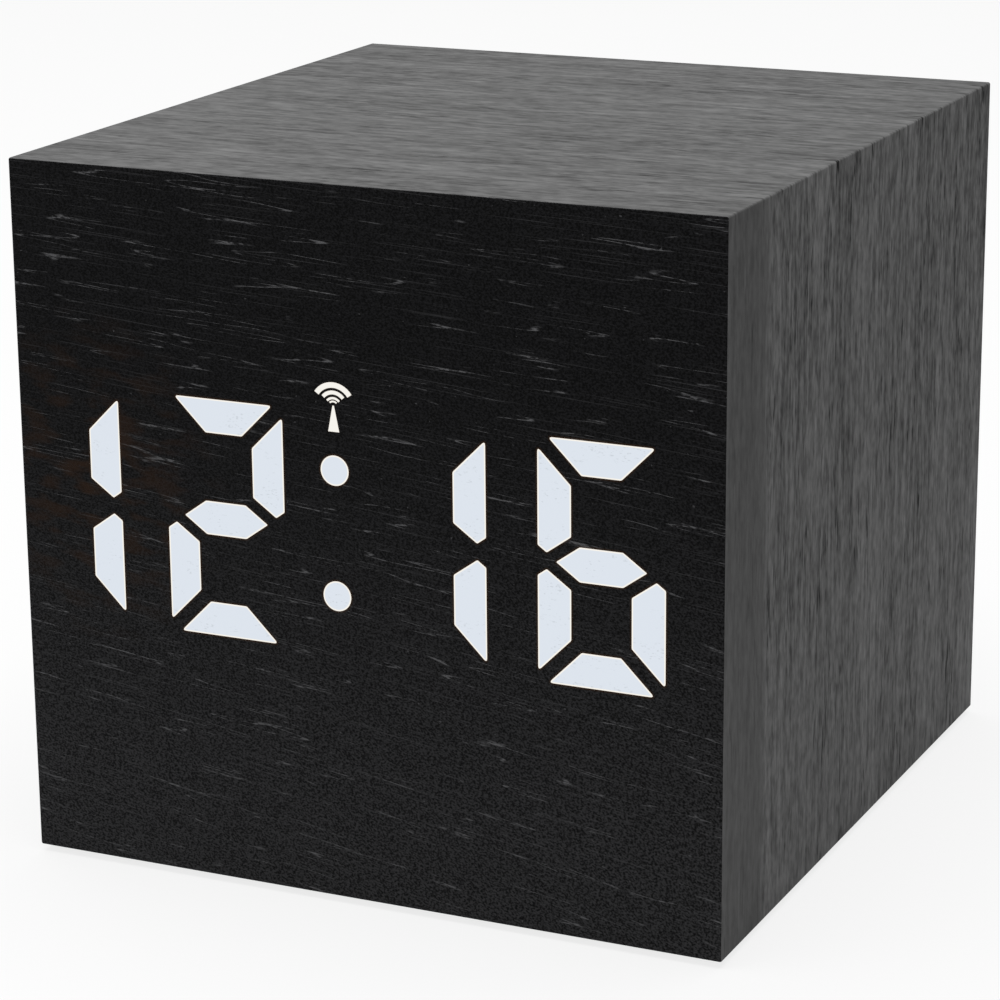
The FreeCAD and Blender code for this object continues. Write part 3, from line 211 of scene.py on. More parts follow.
def case_loop(inset, x_stops=()):
    """The cube's section across, in by an inset: a rectangle with rounded corners, anticlockwise as the reader
    sees it, with extra points on its lower side at the stops."""
    radius = max(EDGE_ROUND - inset, LEAST_ROUND)
    x = HALF_WIDTH - inset - radius
    low, high = CASE_LOW + inset + radius, CASE_HIGH - inset - radius
    turn = np.linspace(0, np.pi / 2, 7)
    lower = np.array([[stop, CASE_LOW + inset] for stop in x_stops]).reshape(-1, 2)
    corners = [
        np.stack([cx + radius * np.cos(turn + start), cz + radius * np.sin(turn + start)], -1)
        for cx, cz, start in ((x, low, -np.pi / 2), (x, high, 0), (-x, high, np.pi / 2), (-x, low, np.pi))
    ]
    return np.concatenate([lower] + corners)


def inside(spots, loop):
    """True for each spot that the loop surrounds: a line from it along X crosses the loop's sides an odd number
    of times."""
    after = np.roll(loop, -1, axis=0)
    x, z = spots[:, None, 0], spots[:, None, 1]
    spans = (loop[:, 1] > z) != (after[:, 1] > z)
    rise = np.where(after[:, 1] == loop[:, 1], 1.0, after[:, 1] - loop[:, 1])
    cross = loop[:, 0] + (z - loop[:, 1]) * (after[:, 0] - loop[:, 0]) / rise
    return (spans & (x < cross)).sum(1) % 2 == 1


def filled(loops, level):
    """Triangles that fill the first loop and leave the others open, at one level of Y."""
    flat = np.concatenate(loops)
    starts = np.cumsum([0] + [len(loop) for loop in loops])
    sides = np.concatenate([
        np.stack([np.arange(a, b), np.roll(np.arange(a, b), -1)], -1) for a, b in zip(starts, starts[1:])])
    keep_inside, nearest = 1, 1e-7
    spots, _, faces, _, _, _ = delaunay_2d_cdt(flat.tolist(), sides.tolist(), [], keep_inside, nearest)
    spots, faces = np.array([tuple(spot) for spot in spots]), np.array(faces)
    middles = spots[faces].mean(1)
    open_cells = np.any([inside(middles, loop) for loop in loops[1:]], axis=0)
    points = np.stack([spots[:, 0], np.full(len(spots), level), spots[:, 1]], -1)
    return points, faces[~open_cells].tolist()


def bands(rings):
    """Four-sided faces between closed rings of equally many points: rings is a list of (loop, level of Y)."""
    points = np.concatenate([np.stack([loop[:, 0], np.full(len(loop), level), loop[:, 1]], -1)
                             for loop, level in rings])
    return points, ring_faces(len(rings), len(rings[0][0]))


def together(*forms):
    """Several (points, faces) as one, the numbers of each counted on from the last."""
    points, faces, start = [], [], 0
    for spots, sides in forms:
        spots = np.asarray(spots, float).reshape(-1, 3)
        points.append(spots)
        faces += [[number + start for number in face] for face in sides]
        start += len(spots)
    return np.concatenate(points), faces


# Finishes

# Settings of nodes, and the numbers of a colour Mix node's inputs: its share and the two colours it mixes
SMOOTH = {"interpolation_type": "SMOOTHSTEP"}
PRODUCT = {"operation": "MULTIPLY"}
COLOURS = {"out": 2, "data_type": "RGBA"}
SHARE, ONE, TWO = 0, 6, 7


def linear(code):
    """Linear colour of an sRGB hex code: c / 12.92 up to 0.04045, above it ((c + 0.055) / 1.055) ^ 2.4."""
    part = np.array([int(code[place:place + 2], 16) for place in (1, 3, 5)]) / 255
    return (*np.where(part <= 0.04045, part / 12.92, ((part + 0.055) / 1.055) ** 2.4).tolist(), 1.0)


def add(tree, kind, inputs, out=0, **settings):
    """Add one shader node and give back one of its outputs. Each input takes a socket, which is linked, a hex
    colour, or a value, which is set."""
    node = tree.nodes.new("ShaderNode" + kind)
    for name, value in settings.items():
        setattr(node, name, value)
    for key, value in inputs.items():
        if isinstance(value, bpy.types.NodeSocket):
            tree.links.new(value, node.inputs[key])
        else:
            node.inputs[key].default_value = linear(value) if isinstance(value, str) else value
    return node.outputs[out]


def start_finish(name, colour, roughness, **sockets):
    """A new material: its node tree, its shader with constant values set on it, and Object coordinates."""
    material = bpy.data.materials.new(name)
    material.use_nodes = True
    tree = material.node_tree
    shader = tree.nodes["Principled BSDF"]
    shader.inputs["Base Color"].default_value = linear(colour)
    shader.inputs["Roughness"].default_value = roughness
    for socket, value in sockets.items():
        shader.inputs[socket.replace("_", " ")].default_value = value
    return material, tree, shader, add(tree, "TexCoord", {}, "Object")


def end_finish(tree, shader, colour, height=None, depth=0.0, roughness=None):
    """Hand the shader its worked-out colour and, where there are any, its roughness and its relief: a height
    from 0 to 1 raises the surface by a depth in millimetres."""
    tree.links.new(colour, shader.inputs["Base Color"])
    if roughness:
        tree.links.new(roughness, shader.inputs["Roughness"])
    if height:
        relief = add(tree, "Bump", {"Height": height, "Distance": depth * MM, "Strength": 1.0})
        tree.links.new(relief, shader.inputs["Normal"])


def grain(tree, place, sizes, levels=(0.25, 0.75), values=(0.0, 1.0), detail=2.0, shift=0.0, coarse=0.5):
    """A pattern of patches that measure about the sizes in millimetres along X, Y and Z. Its noise is eased from
    the two levels to the two values: close levels give crisp patches, far ones soft clouds."""
    spread = add(tree, "Mapping", {"Vector": place, "Location": (shift, shift, shift),
                                   "Scale": tuple(1 / (size * MM) for size in sizes)})
    noise = add(tree, "TexNoise", {"Vector": spread, "Scale": 1.0, "Detail": detail, "Roughness": coarse})
    return add(tree, "MapRange", {"Value": noise, "From Min": levels[0], "From Max": levels[1],
                                  "To Min": values[0], "To Max": values[1]}, **SMOOTH)


def wandering(tree, place, reach):
    """Object coordinates pushed along Y and Z by slow noise, which turns about every 36 mm, of a reach in
    millimetres, so that grain wanders."""
    slow = add(tree, "TexNoise", {"Vector": place, "Scale": 28.0, "Detail": 1.0}, "Color")
    centred = add(tree, "VectorMath", {0: slow, 1: (0.5, 0.5, 0.5)}, operation="SUBTRACT")
    push = add(tree, "VectorMath", {0: centred, 1: (0.0, 2 * reach * MM, 2 * reach * MM)}, **PRODUCT)
    return add(tree, "VectorMath", {0: place, 1: push}, operation="ADD")


def grey_grain_film():
    """Calendered PVC film with a printed, embossed ash grain: mid grey, fibres along the way that the film is
    wrapped, soft bands, broken dashes and short dark pores. It is so matt that it has no sheen at all, which keeps
    the top even when it is seen at a slant. Real fibres are about 0.1 mm wide and the pores 0.05 mm; here they are
    0.5 and 0.33 mm, so that they still show at such a slant. On the two sides the grain is stronger, and the film
    is painted lighter there than on the top, most towards the foot: painted light. The grain fades in the first
    9 mm behind the front."""
    tone = "#686868"
    material, tree, shader, place = start_finish(
        "calendered_pvc_film_grey_ash_grain", tone, 0.6, Specular_IOR_Level=0.0)
    across = add(tree, "Math", {0: add(tree, "SeparateXYZ", {0: place}, "X")}, operation="ABSOLUTE")
    side = add(tree, "MapRange", {"Value": across, "From Min": (HALF_WIDTH - 0.14) * MM,
                                  "From Max": (HALF_WIDTH - 0.01) * MM}, **SMOOTH)
    strip_start, strip_end = (FRONT + 7.8) * MM, (FRONT + 10.2) * MM
    strip = add(tree, "MapRange", {"Value": add(tree, "SeparateXYZ", {0: place}, "Y"), "From Min": strip_start,
                                   "From Max": strip_end, "To Min": 1.0, "To Max": 0.0}, **SMOOTH)
    strip = add(tree, "Math", {0: strip, 1: side}, **PRODUCT)
    place = wandering(tree, place, 0.9)
    band = grain(tree, place, (70.0, 4.4, 70.0), values=(0.12, -0.12), shift=3.1)
    streak = grain(tree, place, (14.0, 0.9, 14.0), values=(0.15, -0.15), detail=3.0, shift=7.7, coarse=0.6)
    fibre = grain(tree, place, (6.0, 0.50, 6.0), values=(0.22, -0.22), detail=3.0, shift=1.3, coarse=0.75)
    dash = grain(tree, place, (2.2, 0.9, 2.2), values=(0.26, -0.26), shift=4.2, coarse=0.75)
    pore = grain(tree, place, (3.0, 0.33, 3.0), (0.58, 0.65), (0.0, -0.42), detail=1.0, shift=5.9)
    crowd = grain(tree, place, (12.0, 2.8, 12.0), (0.48, 0.62), detail=1.0, shift=2.2)
    pores = add(tree, "Math", {0: pore, 1: crowd}, **PRODUCT)
    shade = add(tree, "Math", {0: band, 1: streak})
    for part in (fibre, dash, pores):
        shade = add(tree, "Math", {0: shade, 1: part})
    # How strong the grain is: 0.85 on the top, 1.35 on the sides and 0.6 in the strip
    more = add(tree, "MapRange", {"Value": side, "To Max": 0.5})
    less = add(tree, "MapRange", {"Value": strip, "To Min": 0.85, "To Max": 0.1})
    strength = add(tree, "Math", {0: more, 1: less})
    # Brightness without grain: sides painted paler than the top as painted light, most at the foot; strip darker
    foot = add(tree, "MapRange", {"Value": add(tree, "SeparateXYZ", {0: place}, "Z"), "From Min": 5 * MM,
                                  "From Max": 50 * MM, "To Min": 1.40, "To Max": 1.10})
    paler = add(tree, "Mix", {"Factor": side, "A": 1.02, "B": foot})
    level = add(tree, "Math", {0: shade, 1: strength, 2: paler}, operation="MULTIPLY_ADD")
    dim = add(tree, "MapRange", {"Value": strip, "To Min": 1.0, "To Max": 0.76})
    level = add(tree, "Math", {0: level, 1: dim}, **PRODUCT)
    colour = add(tree, "VectorMath", {0: linear(tone)[:3], "Scale": level}, operation="SCALE")
    end_finish(tree, shader, colour, level, 0.02)
    return material


def black_grain_film():
    """Calendered PVC film, black ash grain: satin near black, painted a little paler towards the foot as a painted
    reflection of the floor, with a fine speckle and rare pale dots. Its light pores are thin strokes in loose
    groups, drawn where a slow noise crosses its middle value; they fall to the right and grow fainter, more so
    lower down. It is painted brown, a painted glow, where lamp light creeps into it beside the numerals and in a
    few faint patches near the hour. The real speckle is finer than 0.05 mm; here it is 0.15 mm, so that it shows."""
    material, tree, shader, place = start_finish(
        "calendered_pvc_film_black_ash_grain", "#1f1f20", 0.5, Specular_IOR_Level=0.05)
    # A cloud round the hour: its middle lies 25.3 mm left and 35.4 mm up, and it reaches 13.3 and 15.4 mm
    near_hour = add(tree, "Mapping", {"Vector": place, "Location": (1.9, 0.0, -2.3), "Scale": (75.0, 0.0, 65.0)})
    hour = add(tree, "TexGradient", {"Vector": near_hour}, "Fac", gradient_type="SPHERICAL")
    x, height = (add(tree, "SeparateXYZ", {0: place}, axis) for axis in "XZ")
    # The strokes fall by 0.17 mm for each mm to the right at the foot, and by 0.05 mm at the top
    slope = add(tree, "Math", {0: height, 1: -2.0, 2: 0.17}, operation="MULTIPLY_ADD")
    fall = add(tree, "CombineXYZ", {"Z": add(tree, "Math", {0: x, 1: slope}, **PRODUCT)})
    place = wandering(tree, add(tree, "VectorMath", {0: place, 1: fall}, operation="ADD"), 0.35)
    speck = grain(tree, place, (0.20, 30.0, 0.15), (0.30, 0.70), (0.15, 2.1), detail=1.0, shift=9.9)
    rise = grain(tree, place, (9.0, 30.0, 0.42), (0.465, 0.495), detail=0.0, shift=4.4)
    fade = grain(tree, place, (9.0, 30.0, 0.42), (0.505, 0.535), (1.0, 0.0), detail=0.0, shift=4.4)
    crowd = grain(tree, place, (6.5, 30.0, 0.8), (0.50, 0.64), detail=1.0, shift=8.8)
    broken = grain(tree, place, (0.5, 30.0, 0.09), (0.38, 0.60), (0.1, 1.3), detail=1.0, shift=3.6)
    dot = grain(tree, place, (0.36, 30.0, 0.30), (0.86, 0.90), (0.0, 0.6), detail=0.0, shift=6.8)
    line = grain(tree, place, (14.0, 30.0, 0.09), (0.62, 0.74), (0.0, 0.30), detail=1.0, shift=6.1)
    patch = grain(tree, place, (4.0, 30.0, 1.5), (0.46, 0.66), (0.0, 0.9), shift=7.2)
    # Painted reflection of the floor: the base colour is painted paler towards the foot
    painted_reflection_share = add(tree, "MapRange", {"Value": height, "From Min": -2 * MM, "From Max": 50 * MM}, **SMOOTH)
    base = add(tree, "Mix", {SHARE: painted_reflection_share, ONE: "#2a2a2b", TWO: "#121213"}, **COLOURS)
    colour = add(tree, "VectorMath", {0: base, "Scale": speck}, operation="SCALE")
    colour = add(tree, "Mix", {SHARE: line, ONE: colour, TWO: "#606062"}, **COLOURS)
    strokes = add(tree, "Math", {0: add(tree, "Math", {0: rise, 1: fade}, **PRODUCT), 1: crowd}, **PRODUCT)
    pale = add(tree, "Math", {0: strokes, 1: broken, 2: dot}, operation="MULTIPLY_ADD")
    plain = add(tree, "MapRange", {"Value": height, "From Min": 12 * MM, "From Max": 45 * MM, "To Min": 0.52,
                                   "To Max": 0.58})
    bright = add(tree, "Math", {0: pale, 1: plain}, **PRODUCT)
    colour = add(tree, "Mix", {SHARE: bright, ONE: colour, TWO: "#78787a"}, **COLOURS)
    # Painted glow: the lamps' light creeping into the film, painted brown in patches round the hour
    brown = add(tree, "Math", {0: hour, 1: patch}, **PRODUCT)
    colour = add(tree, "Mix", {SHARE: brown, ONE: colour, TWO: "#33241a"}, **COLOURS)
    # Painted glow: the band round each opening is painted brown for the lamps' light in it
    halo = add(tree, "Attribute", {}, "Fac", attribute_name="halo")
    colour = add(tree, "Mix", {SHARE: halo, ONE: colour, TWO: "#3d2a1a"}, **COLOURS)
    end_finish(tree, shader, colour, strokes, 0.015)
    return material


def lit_film():
    """The same film where a lamp shines through it: flat cool white, a bright cream rim where the light leaves
    the edge of the opening, and faint grey dashes of grain in loose groups."""
    material, tree, shader, place = start_finish(
        "pvc_film_lit_from_behind", "#1a1a1b", 0.5, Specular_IOR_Level=0.07, Emission_Strength=1.0)
    dash = grain(tree, place, (0.30, 30.0, 0.12), (0.62, 0.72), (0.0, 0.3), detail=1.0, shift=2.6)
    crowd = grain(tree, place, (3.0, 30.0, 2.0), (0.46, 0.60), detail=1.0, shift=5.2)
    shade = add(tree, "Math", {0: dash, 1: crowd}, **PRODUCT)
    glow = add(tree, "Mix", {SHARE: shade, ONE: "#dce3ec", TWO: "#9aa0a3"}, **COLOURS)
    rim = add(tree, "Attribute", {}, "Fac", attribute_name="rim")
    glow = add(tree, "Mix", {SHARE: rim, ONE: glow, TWO: "#fbf6ec"}, **COLOURS)
    tree.links.new(glow, shader.inputs["Emission Color"])
    return material


def moulded_plastic(name, colour, light, roughness, grit=0.12, depth=0.006, specular=0.5):
    """Injection-moulded plastic: an even colour that drifts a little towards a lighter one, with the fine grit
    that the mould's spark-eroded skin leaves, its size in millimetres. Real grit is 0.02 to 0.1 mm; the greater
    part is drawn coarser, so that it shows."""
    material, tree, shader, place = start_finish(name, colour, roughness, Specular_IOR_Level=specular)
    drift = grain(tree, place, (6.0, 6.0, 6.0), values=(0.0, 0.4))
    fine = grain(tree, place, (grit, grit, grit), values=(0.0, 0.6), shift=1.7)
    share = add(tree, "Math", {0: drift, 1: fine})
    mixed = add(tree, "Mix", {SHARE: share, ONE: colour, TWO: light}, **COLOURS)
    dull = add(tree, "MapRange", {"Value": fine, "From Max": 0.6, "To Min": roughness - 0.05,
                                  "To Max": roughness + 0.07})
    end_finish(tree, shader, mixed, fine, depth, dull)
    return material


def plated_metal(name, colour, dark, roughness, streak=(3.0, 0.08, 0.08)):
    """Plated or rolled metal: bright, with faint streaks of the given length and widths in millimetres. Real
    ones are about 0.02 mm wide; they are drawn at 0.08 mm or more, so that they show."""
    material, tree, shader, place = start_finish(name, colour, roughness, Metallic=1.0)
    line = grain(tree, place, streak, detail=3.0)
    cloud = grain(tree, place, (1.5, 1.5, 1.5), shift=3.3)
    worn = add(tree, "Math", {0: line, 1: cloud}, **PRODUCT)
    mixed = add(tree, "Mix", {SHARE: worn, ONE: colour, TWO: dark}, **COLOURS)
    dull = add(tree, "MapRange", {"Value": cloud, "To Min": roughness - 0.07, "To Max": roughness + 0.1})
    end_finish(tree, shader, mixed, line, 0.002, dull)
    return material


def soft_matt(name, colour, light, roughness, cell, depth):
    """Rubber, paper, foam or ferrite: a dull surface mottled by cells of a size in millimetres, drawn coarser
    than the real bloom, fibre, cell or grain, so that it shows."""
    material, tree, shader, place = start_finish(name, colour, roughness, Specular_IOR_Level=0.3)
    cells = add(tree, "TexVoronoi", {"Vector": place, "Scale": 1 / (cell * MM)})
    fine = grain(tree, place, (cell / 2, cell / 2, cell / 2), detail=3.0, shift=4.9)
    mottle = add(tree, "Math", {0: cells, 1: fine}, **PRODUCT)
    mixed = add(tree, "Mix", {SHARE: mottle, ONE: colour, TWO: light}, **COLOURS)
    dull = add(tree, "MapRange", {"Value": fine, "To Min": roughness - 0.06, "To Max": roughness + 0.06})
    end_finish(tree, shader, mixed, mottle, depth, dull)
    return material


def fibreboard():
    """Medium density fibreboard, sawn: light brown felted fibres. Its rear edges are sealed with black paint, so
    the ring round the rear cover reads as a matt black frame with a faint fibre in it."""
    material, tree, shader, place = start_finish("medium_density_fibreboard_sawn", "#9a7a55", 0.85,
                                                 Specular_IOR_Level=0.2)
    fibre = grain(tree, place, (0.9, 0.3, 0.9), detail=4.0, coarse=0.65)
    clump = grain(tree, place, (2.5, 2.5, 2.5), shift=6.6)
    mixed = add(tree, "Math", {0: fibre, 1: clump, 2: 0.1}, operation="MULTIPLY_ADD")
    wood = add(tree, "Mix", {SHARE: mixed, ONE: "#86663f", TWO: "#b8966c"}, **COLOURS)
    paint = add(tree, "Mix", {SHARE: fibre, ONE: "#161617", TWO: "#29292a"}, **COLOURS)
    sealed = add(tree, "MapRange", {"Value": add(tree, "SeparateXYZ", {0: place}, "Y"), "From Min": 30.0 * MM,
                                    "From Max": 30.4 * MM}, **SMOOTH)
    colour = add(tree, "Mix", {SHARE: sealed, ONE: wood, TWO: paint}, **COLOURS)
    end_finish(tree, shader, colour, fibre, 0.03)
    return material


def solder_mask():
    """Glass-epoxy circuit board: green mask over etched tracks, which stand out a little paler, and over the
    glass cloth's weave. A thread each 0.8 mm and a track each 1.3 mm are coarser than real ones, so that they
    show."""
    material, tree, shader, place = start_finish("glass_epoxy_board_green_mask", "#0e4a28", 0.35)
    weave = add(tree, "TexWave", {"Vector": place, "Scale": 400.0, "Distortion": 0.4}, "Fac",
                bands_direction="DIAGONAL")
    layout = {"Vector": place, "Scale": 190.0, "Mortar Size": 0.05, "Color1": "#0b3d20", "Color2": "#0d4726",
              "Mortar": "#1c6b3d"}
    mask, edge = (add(tree, "TexBrick", layout, out) for out in ("Color", "Fac"))
    cloth = add(tree, "MapRange", {"Value": weave, "To Max": 0.2})
    colour = add(tree, "Mix", {SHARE: cloth, ONE: mask, TWO: "#145c33"}, **COLOURS)
    end_finish(tree, shader, colour, edge, 0.01)
    return material


def wound_wire(name, gauge, along):
    """Enamelled copper wire wound side by side: reddish brown, with a bright ridge for each turn of its gauge in
    millimetres and painted shade in the groove between turns. The wave runs through one ridge in 2 pi / 20 of the
    unit that its scale sets."""
    copper, gap = "#b5652e", "#5e2c10"
    material, tree, shader, place = start_finish(name, copper, 0.3, Metallic=0.9)
    turns = add(tree, "TexWave", {"Vector": place, "Scale": 2 * math.pi / (20 * gauge * MM), "Distortion": 0.0},
                "Fac", bands_direction=along, wave_profile="SIN")
    # Painted shade: the colour falls to a dark brown in the groove between turns
    colour = add(tree, "Mix", {SHARE: turns, ONE: gap, TWO: copper}, **COLOURS)
    end_finish(tree, shader, colour, turns, gauge / 3)
    return material


def cell_sleeve():
    """A dry cell in a shrunk plastic sleeve: silver grey print with a dark blue band, pressed steel ends."""
    material, tree, shader, place = start_finish("shrunk_pvc_sleeve_and_steel_ends", "#8d9196", 0.32)
    band, steel = (add(tree, "Attribute", {}, "Fac", attribute_name=mark) for mark in ("band", "steel"))
    cloud = grain(tree, place, (1.2, 0.4, 0.4))
    plain = add(tree, "Mix", {SHARE: cloud, ONE: "#85898e", TWO: "#9a9ea3"}, **COLOURS)
    sleeve = add(tree, "Mix", {SHARE: band, ONE: plain, TWO: "#1d2a44"}, **COLOURS)
    colour = add(tree, "Mix", {SHARE: steel, ONE: sleeve, TWO: "#c9c9c6"}, **COLOURS)
    tree.links.new(steel, shader.inputs["Metallic"])
    dull = add(tree, "MapRange", {"Value": cloud, "To Min": 0.26, "To Max": 0.38})
    end_finish(tree, shader, colour, roughness=dull)
    return material


def printed_ink():
    """Pad-printed white ink: matt, slightly thin at its grit, a hair above the plastic."""
    material, tree, shader, place = start_finish("pad_printed_white_ink", "#d6d6d2", 0.55, Specular_IOR_Level=0.3)
    grit = grain(tree, place, (0.12, 0.12, 0.12), (0.55, 0.8))
    end_finish(tree, shader, add(tree, "Mix", {SHARE: grit, ONE: "#d9d9d5", TWO: "#a9a9a6"}, **COLOURS))
    return material


GREY_FILM = grey_grain_film()
BLACK_FILM = black_grain_film()
LIT_FILM = lit_film()
FIBREBOARD = fibreboard()
CIRCUIT_BOARD = solder_mask()
CELL_SLEEVE = cell_sleeve()
INK = printed_ink()
# Spark-eroded ABS: a dull black with a fine even grit that softens every highlight
COVER_ABS = moulded_plastic("moulded_abs_black_spark_texture", "#19191a", "#232324", 0.55, 0.22, 0.016, 0.4)
# Polished ABS key tops: deeper black with a clean sheen, so the keys stand out from the cover
KEY_ABS = moulded_plastic("moulded_abs_black_satin_keys", "#151516", "#1d1d1e", 0.3, 0.1, 0.002)
# Plain moulded ABS behind the film: an even half-matt black
PANEL_ABS = moulded_plastic("moulded_abs_black_display_panel", "#161616", "#1f1f1f", 0.5)
# Glass-filled nylon: its fibres at the skin make the black look slightly grey
SWITCH_NYLON = moulded_plastic("moulded_glass_nylon_black_switch", "#1b1b1c", "#262627", 0.45)
# White ABS from a polished mould: bright and glossy, to throw the lamps' light forward
REFLECTOR_ABS = moulded_plastic("moulded_abs_white_reflector", "#e4e3de", "#efeeea", 0.3, 0.3, 0.002)
# Milky sheet: flat and matt, so that it hides the lamp chips
DIFFUSER_PET = moulded_plastic("milky_pet_diffuser_sheet", "#dddcd6", "#e8e7e2", 0.5, 0.08, 0.002)
# Unfilled nylon: a warm cream with a soft sheen
HEADER_NYLON = moulded_plastic("moulded_nylon_cream_header", "#d8d2bd", "#e4dfcd", 0.4)
# Natural nylon: waxy off-white
CLIP_NYLON = moulded_plastic("moulded_nylon_natural_clip", "#d9d8d0", "#e6e5df", 0.4)
# Extruded PVC: smooth even grey, with slow waves from the die
RIBBON_PVC = moulded_plastic("extruded_pvc_grey_ribbon_cable", "#8a8c90", "#9a9ca0", 0.45, 0.5, 0.01)
# Moulded epoxy: dense flat black with a very fine grit
CHIP_EPOXY = moulded_plastic("moulded_epoxy_black_chip_package", "#171718", "#222223", 0.5, 0.06, 0.004)
# Resin cast over phosphor: small glossy drops of pale yellow
LAMP_RESIN = moulded_plastic("cast_resin_lamp_chip_phosphor", "#d8cf86", "#e8e2a8", 0.25, 0.2, 0.001)
# Moulded contact carrier: close black, so that the gold stands out on it
CARRIER_LCP = moulded_plastic("moulded_lcp_black_contact_carrier", "#141415", "#1e1e1f", 0.45)
# Silicone rubber: dull and dry to the eye, with hardly a highlight
FOOT_RUBBER = soft_matt("die_cut_silicone_rubber_black", "#1c1c1c", "#2b2b2b", 0.75, 0.3, 0.01)
# Pressed rubber roll: soft black with one dim wide highlight
EDGE_RUBBER = soft_matt("pressed_rubber_cone_edge", "#161616", "#232323", 0.7, 0.2, 0.006)
# Cut foam: no highlight, and open cells that catch the light at their rims
GASKET_FOAM = soft_matt("die_cut_pe_foam_black", "#1b1b1b", "#333333", 0.9, 0.35, 0.05)
# Pressed paper: a flat warm black with felted fibres
CONE_PAPER = soft_matt("pressed_black_paper_cone", "#1e1d1c", "#33312f", 0.85, 0.25, 0.02)
# Sintered ferrite: dark grey and grainy, like fine stone
FERRITE = soft_matt("sintered_ferrite_dark_grey", "#2d2d30", "#3c3c40", 0.6, 0.15, 0.006)
# Tin plate: pale silver with faint rolling streaks
SHELL_STEEL = plated_metal("tin_plated_steel_folded_shell", "#c2c2c0", "#9a9a99", 0.28)
# Black zinc plate: dark, with a low metallic glint
SCREW_STEEL = plated_metal("black_zinc_plated_steel_screw", "#4a4a4d", "#2e2e31", 0.38, (0.4, 0.4, 0.4))
# Nickel plate on springs, and on the magnet's cup: warm silver, brighter where it is thin
CONTACT_STEEL = plated_metal("nickel_plated_spring_steel", "#c9c5bb", "#a19d94", 0.25)
MAGNET_STEEL = plated_metal("nickel_plated_magnet_cup", "#aaa9a5", "#85847f", 0.3)
# Black passivated steel: a dark sheen that still reads as metal
FRAME_STEEL = plated_metal("black_passivated_steel_speaker_frame", "#48484b", "#303033", 0.45)
# Drawn aluminium: light grey with soft lines along the draw
CAN_ALUMINIUM = plated_metal("drawn_aluminium_can", "#a9abae", "#85878b", 0.3)
# Gold flash on bronze: a clear yellow glint in the dark socket
GOLD_FLASH = plated_metal("gold_flashed_phosphor_bronze", "#d9b45f", "#b48c3c", 0.25)
# Fine enamelled wire: its turns show as even bright ridges, with painted shade between them
AERIAL_WIRE = wound_wire("enamelled_copper_wire_aerial", 0.3, "X")
VOICE_WIRE = wound_wire("enamelled_copper_wire_voice_coil", 0.15, "Y")

NODE_FINISHES = {
    "aerial_clips": CLIP_NYLON, "aerial_coil": AERIAL_WIRE, "battery_tray": COVER_ABS,
    "bottom_board": FIBREBOARD, "cable_headers": HEADER_NYLON, "capacitors": CAN_ALUMINIUM,
    "control_board": CIRCUIT_BOARD, "corner_blocks": FIBREBOARD, "diffuser_film": DIFFUSER_PET,
    "display_board": CIRCUIT_BOARD, "display_cable": RIBBON_PVC, "display_reflector": REFLECTOR_ABS,
    "down_plunger": SWITCH_NYLON, "driver_chip": CHIP_EPOXY, "ferrite_rod": FERRITE, "front_panel": PANEL_ABS,
    "led_chips": LAMP_RESIN, "left_board": FIBREBOARD, "negative_contacts": CONTACT_STEEL,
    "positive_contacts": CONTACT_STEEL, "right_board": FIBREBOARD, "set_plunger": SWITCH_NYLON,
    "slide_housing": SWITCH_NYLON, "small_screws": SCREW_STEEL, "speaker_cone": CONE_PAPER,
    "speaker_frame": FRAME_STEEL, "speaker_gasket": GASKET_FOAM, "speaker_magnet": MAGNET_STEEL,
    "speaker_surround": EDGE_RUBBER, "switch_housings": SWITCH_NYLON, "talk_plunger": SWITCH_NYLON,
    "tap_sensor": CAN_ALUMINIUM, "top_board": FIBREBOARD, "up_plunger": SWITCH_NYLON,
    "voice_chip": CHIP_EPOXY, "voice_coil": VOICE_WIRE,
}
for node, finish in NODE_FINISHES.items():
    CAD[node].data.materials.clear()
    CAD[node].data.materials.append(finish)


# Case: the wrap, the front film and its lit shapes

def wrap_film():
    """The film round the cube, a closed shell. Its section runs from the front mitre round the front edge's
    rounding, inset r (1 - sin a) at depth r (1 - cos a) for a from 45 to 90 degrees, straight back, and round the
    rear edge. The inner side is the same section a film's thickness further in. The battery mouth's cell is left
    out and rimmed."""
    mouth_x = (-MOUTH_HALF, MOUTH_HALF)
    turn = np.radians(np.linspace(45, 90, 5))
    front = [(EDGE_ROUND * (1 - np.sin(a)), FRONT + EDGE_ROUND * (1 - np.cos(a))) for a in turn]
    middle = [(0.0, MOUTH_FRONT), (0.0, MOUTH_BACK)]
    turn = np.radians(np.linspace(0, 90, 4))
    rear = [(REAR_ROUND * (1 - np.cos(a)), REAR - REAR_ROUND * (1 - np.sin(a))) for a in turn]
    stations = front + middle + rear
    outer = np.array([[(x, depth, z) for x, z in case_loop(inset, mouth_x)] for inset, depth in stations])
    inner = np.array([[(x, min(max(depth, FRONT + FILM), REAR), z) for x, z in case_loop(FILM, mouth_x)]
                      for _, depth in stations])
    rows, columns = outer.shape[:2]
    number = np.arange(rows * columns).reshape(rows, columns)
    beside = np.roll(number, -1, axis=1)
    cells = np.stack([number[:-1], number[1:], beside[1:], beside[:-1]], -1)
    keep = np.ones(cells.shape[:2], bool)
    keep[len(front), 0] = False
    cells = cells[keep]
    edges = np.concatenate([cells[:, [k, (k + 1) % 4]] for k in range(4)])
    _, first, count = np.unique(np.sort(edges, axis=1), axis=0, return_index=True, return_counts=True)
    rim = edges[first[count == 1]]
    inner_start = rows * columns
    walls = np.stack([rim[:, 1], rim[:, 0], rim[:, 0] + inner_start, rim[:, 1] + inner_start], -1)
    faces = np.concatenate([cells, cells[:, ::-1] + inner_start, walls]).tolist()
    points = np.concatenate([outer.reshape(-1, 3), inner.reshape(-1, 3)])
    piece("wrap_film", "case", points, faces, GREY_FILM, 35.0, ("skin_wrap",))


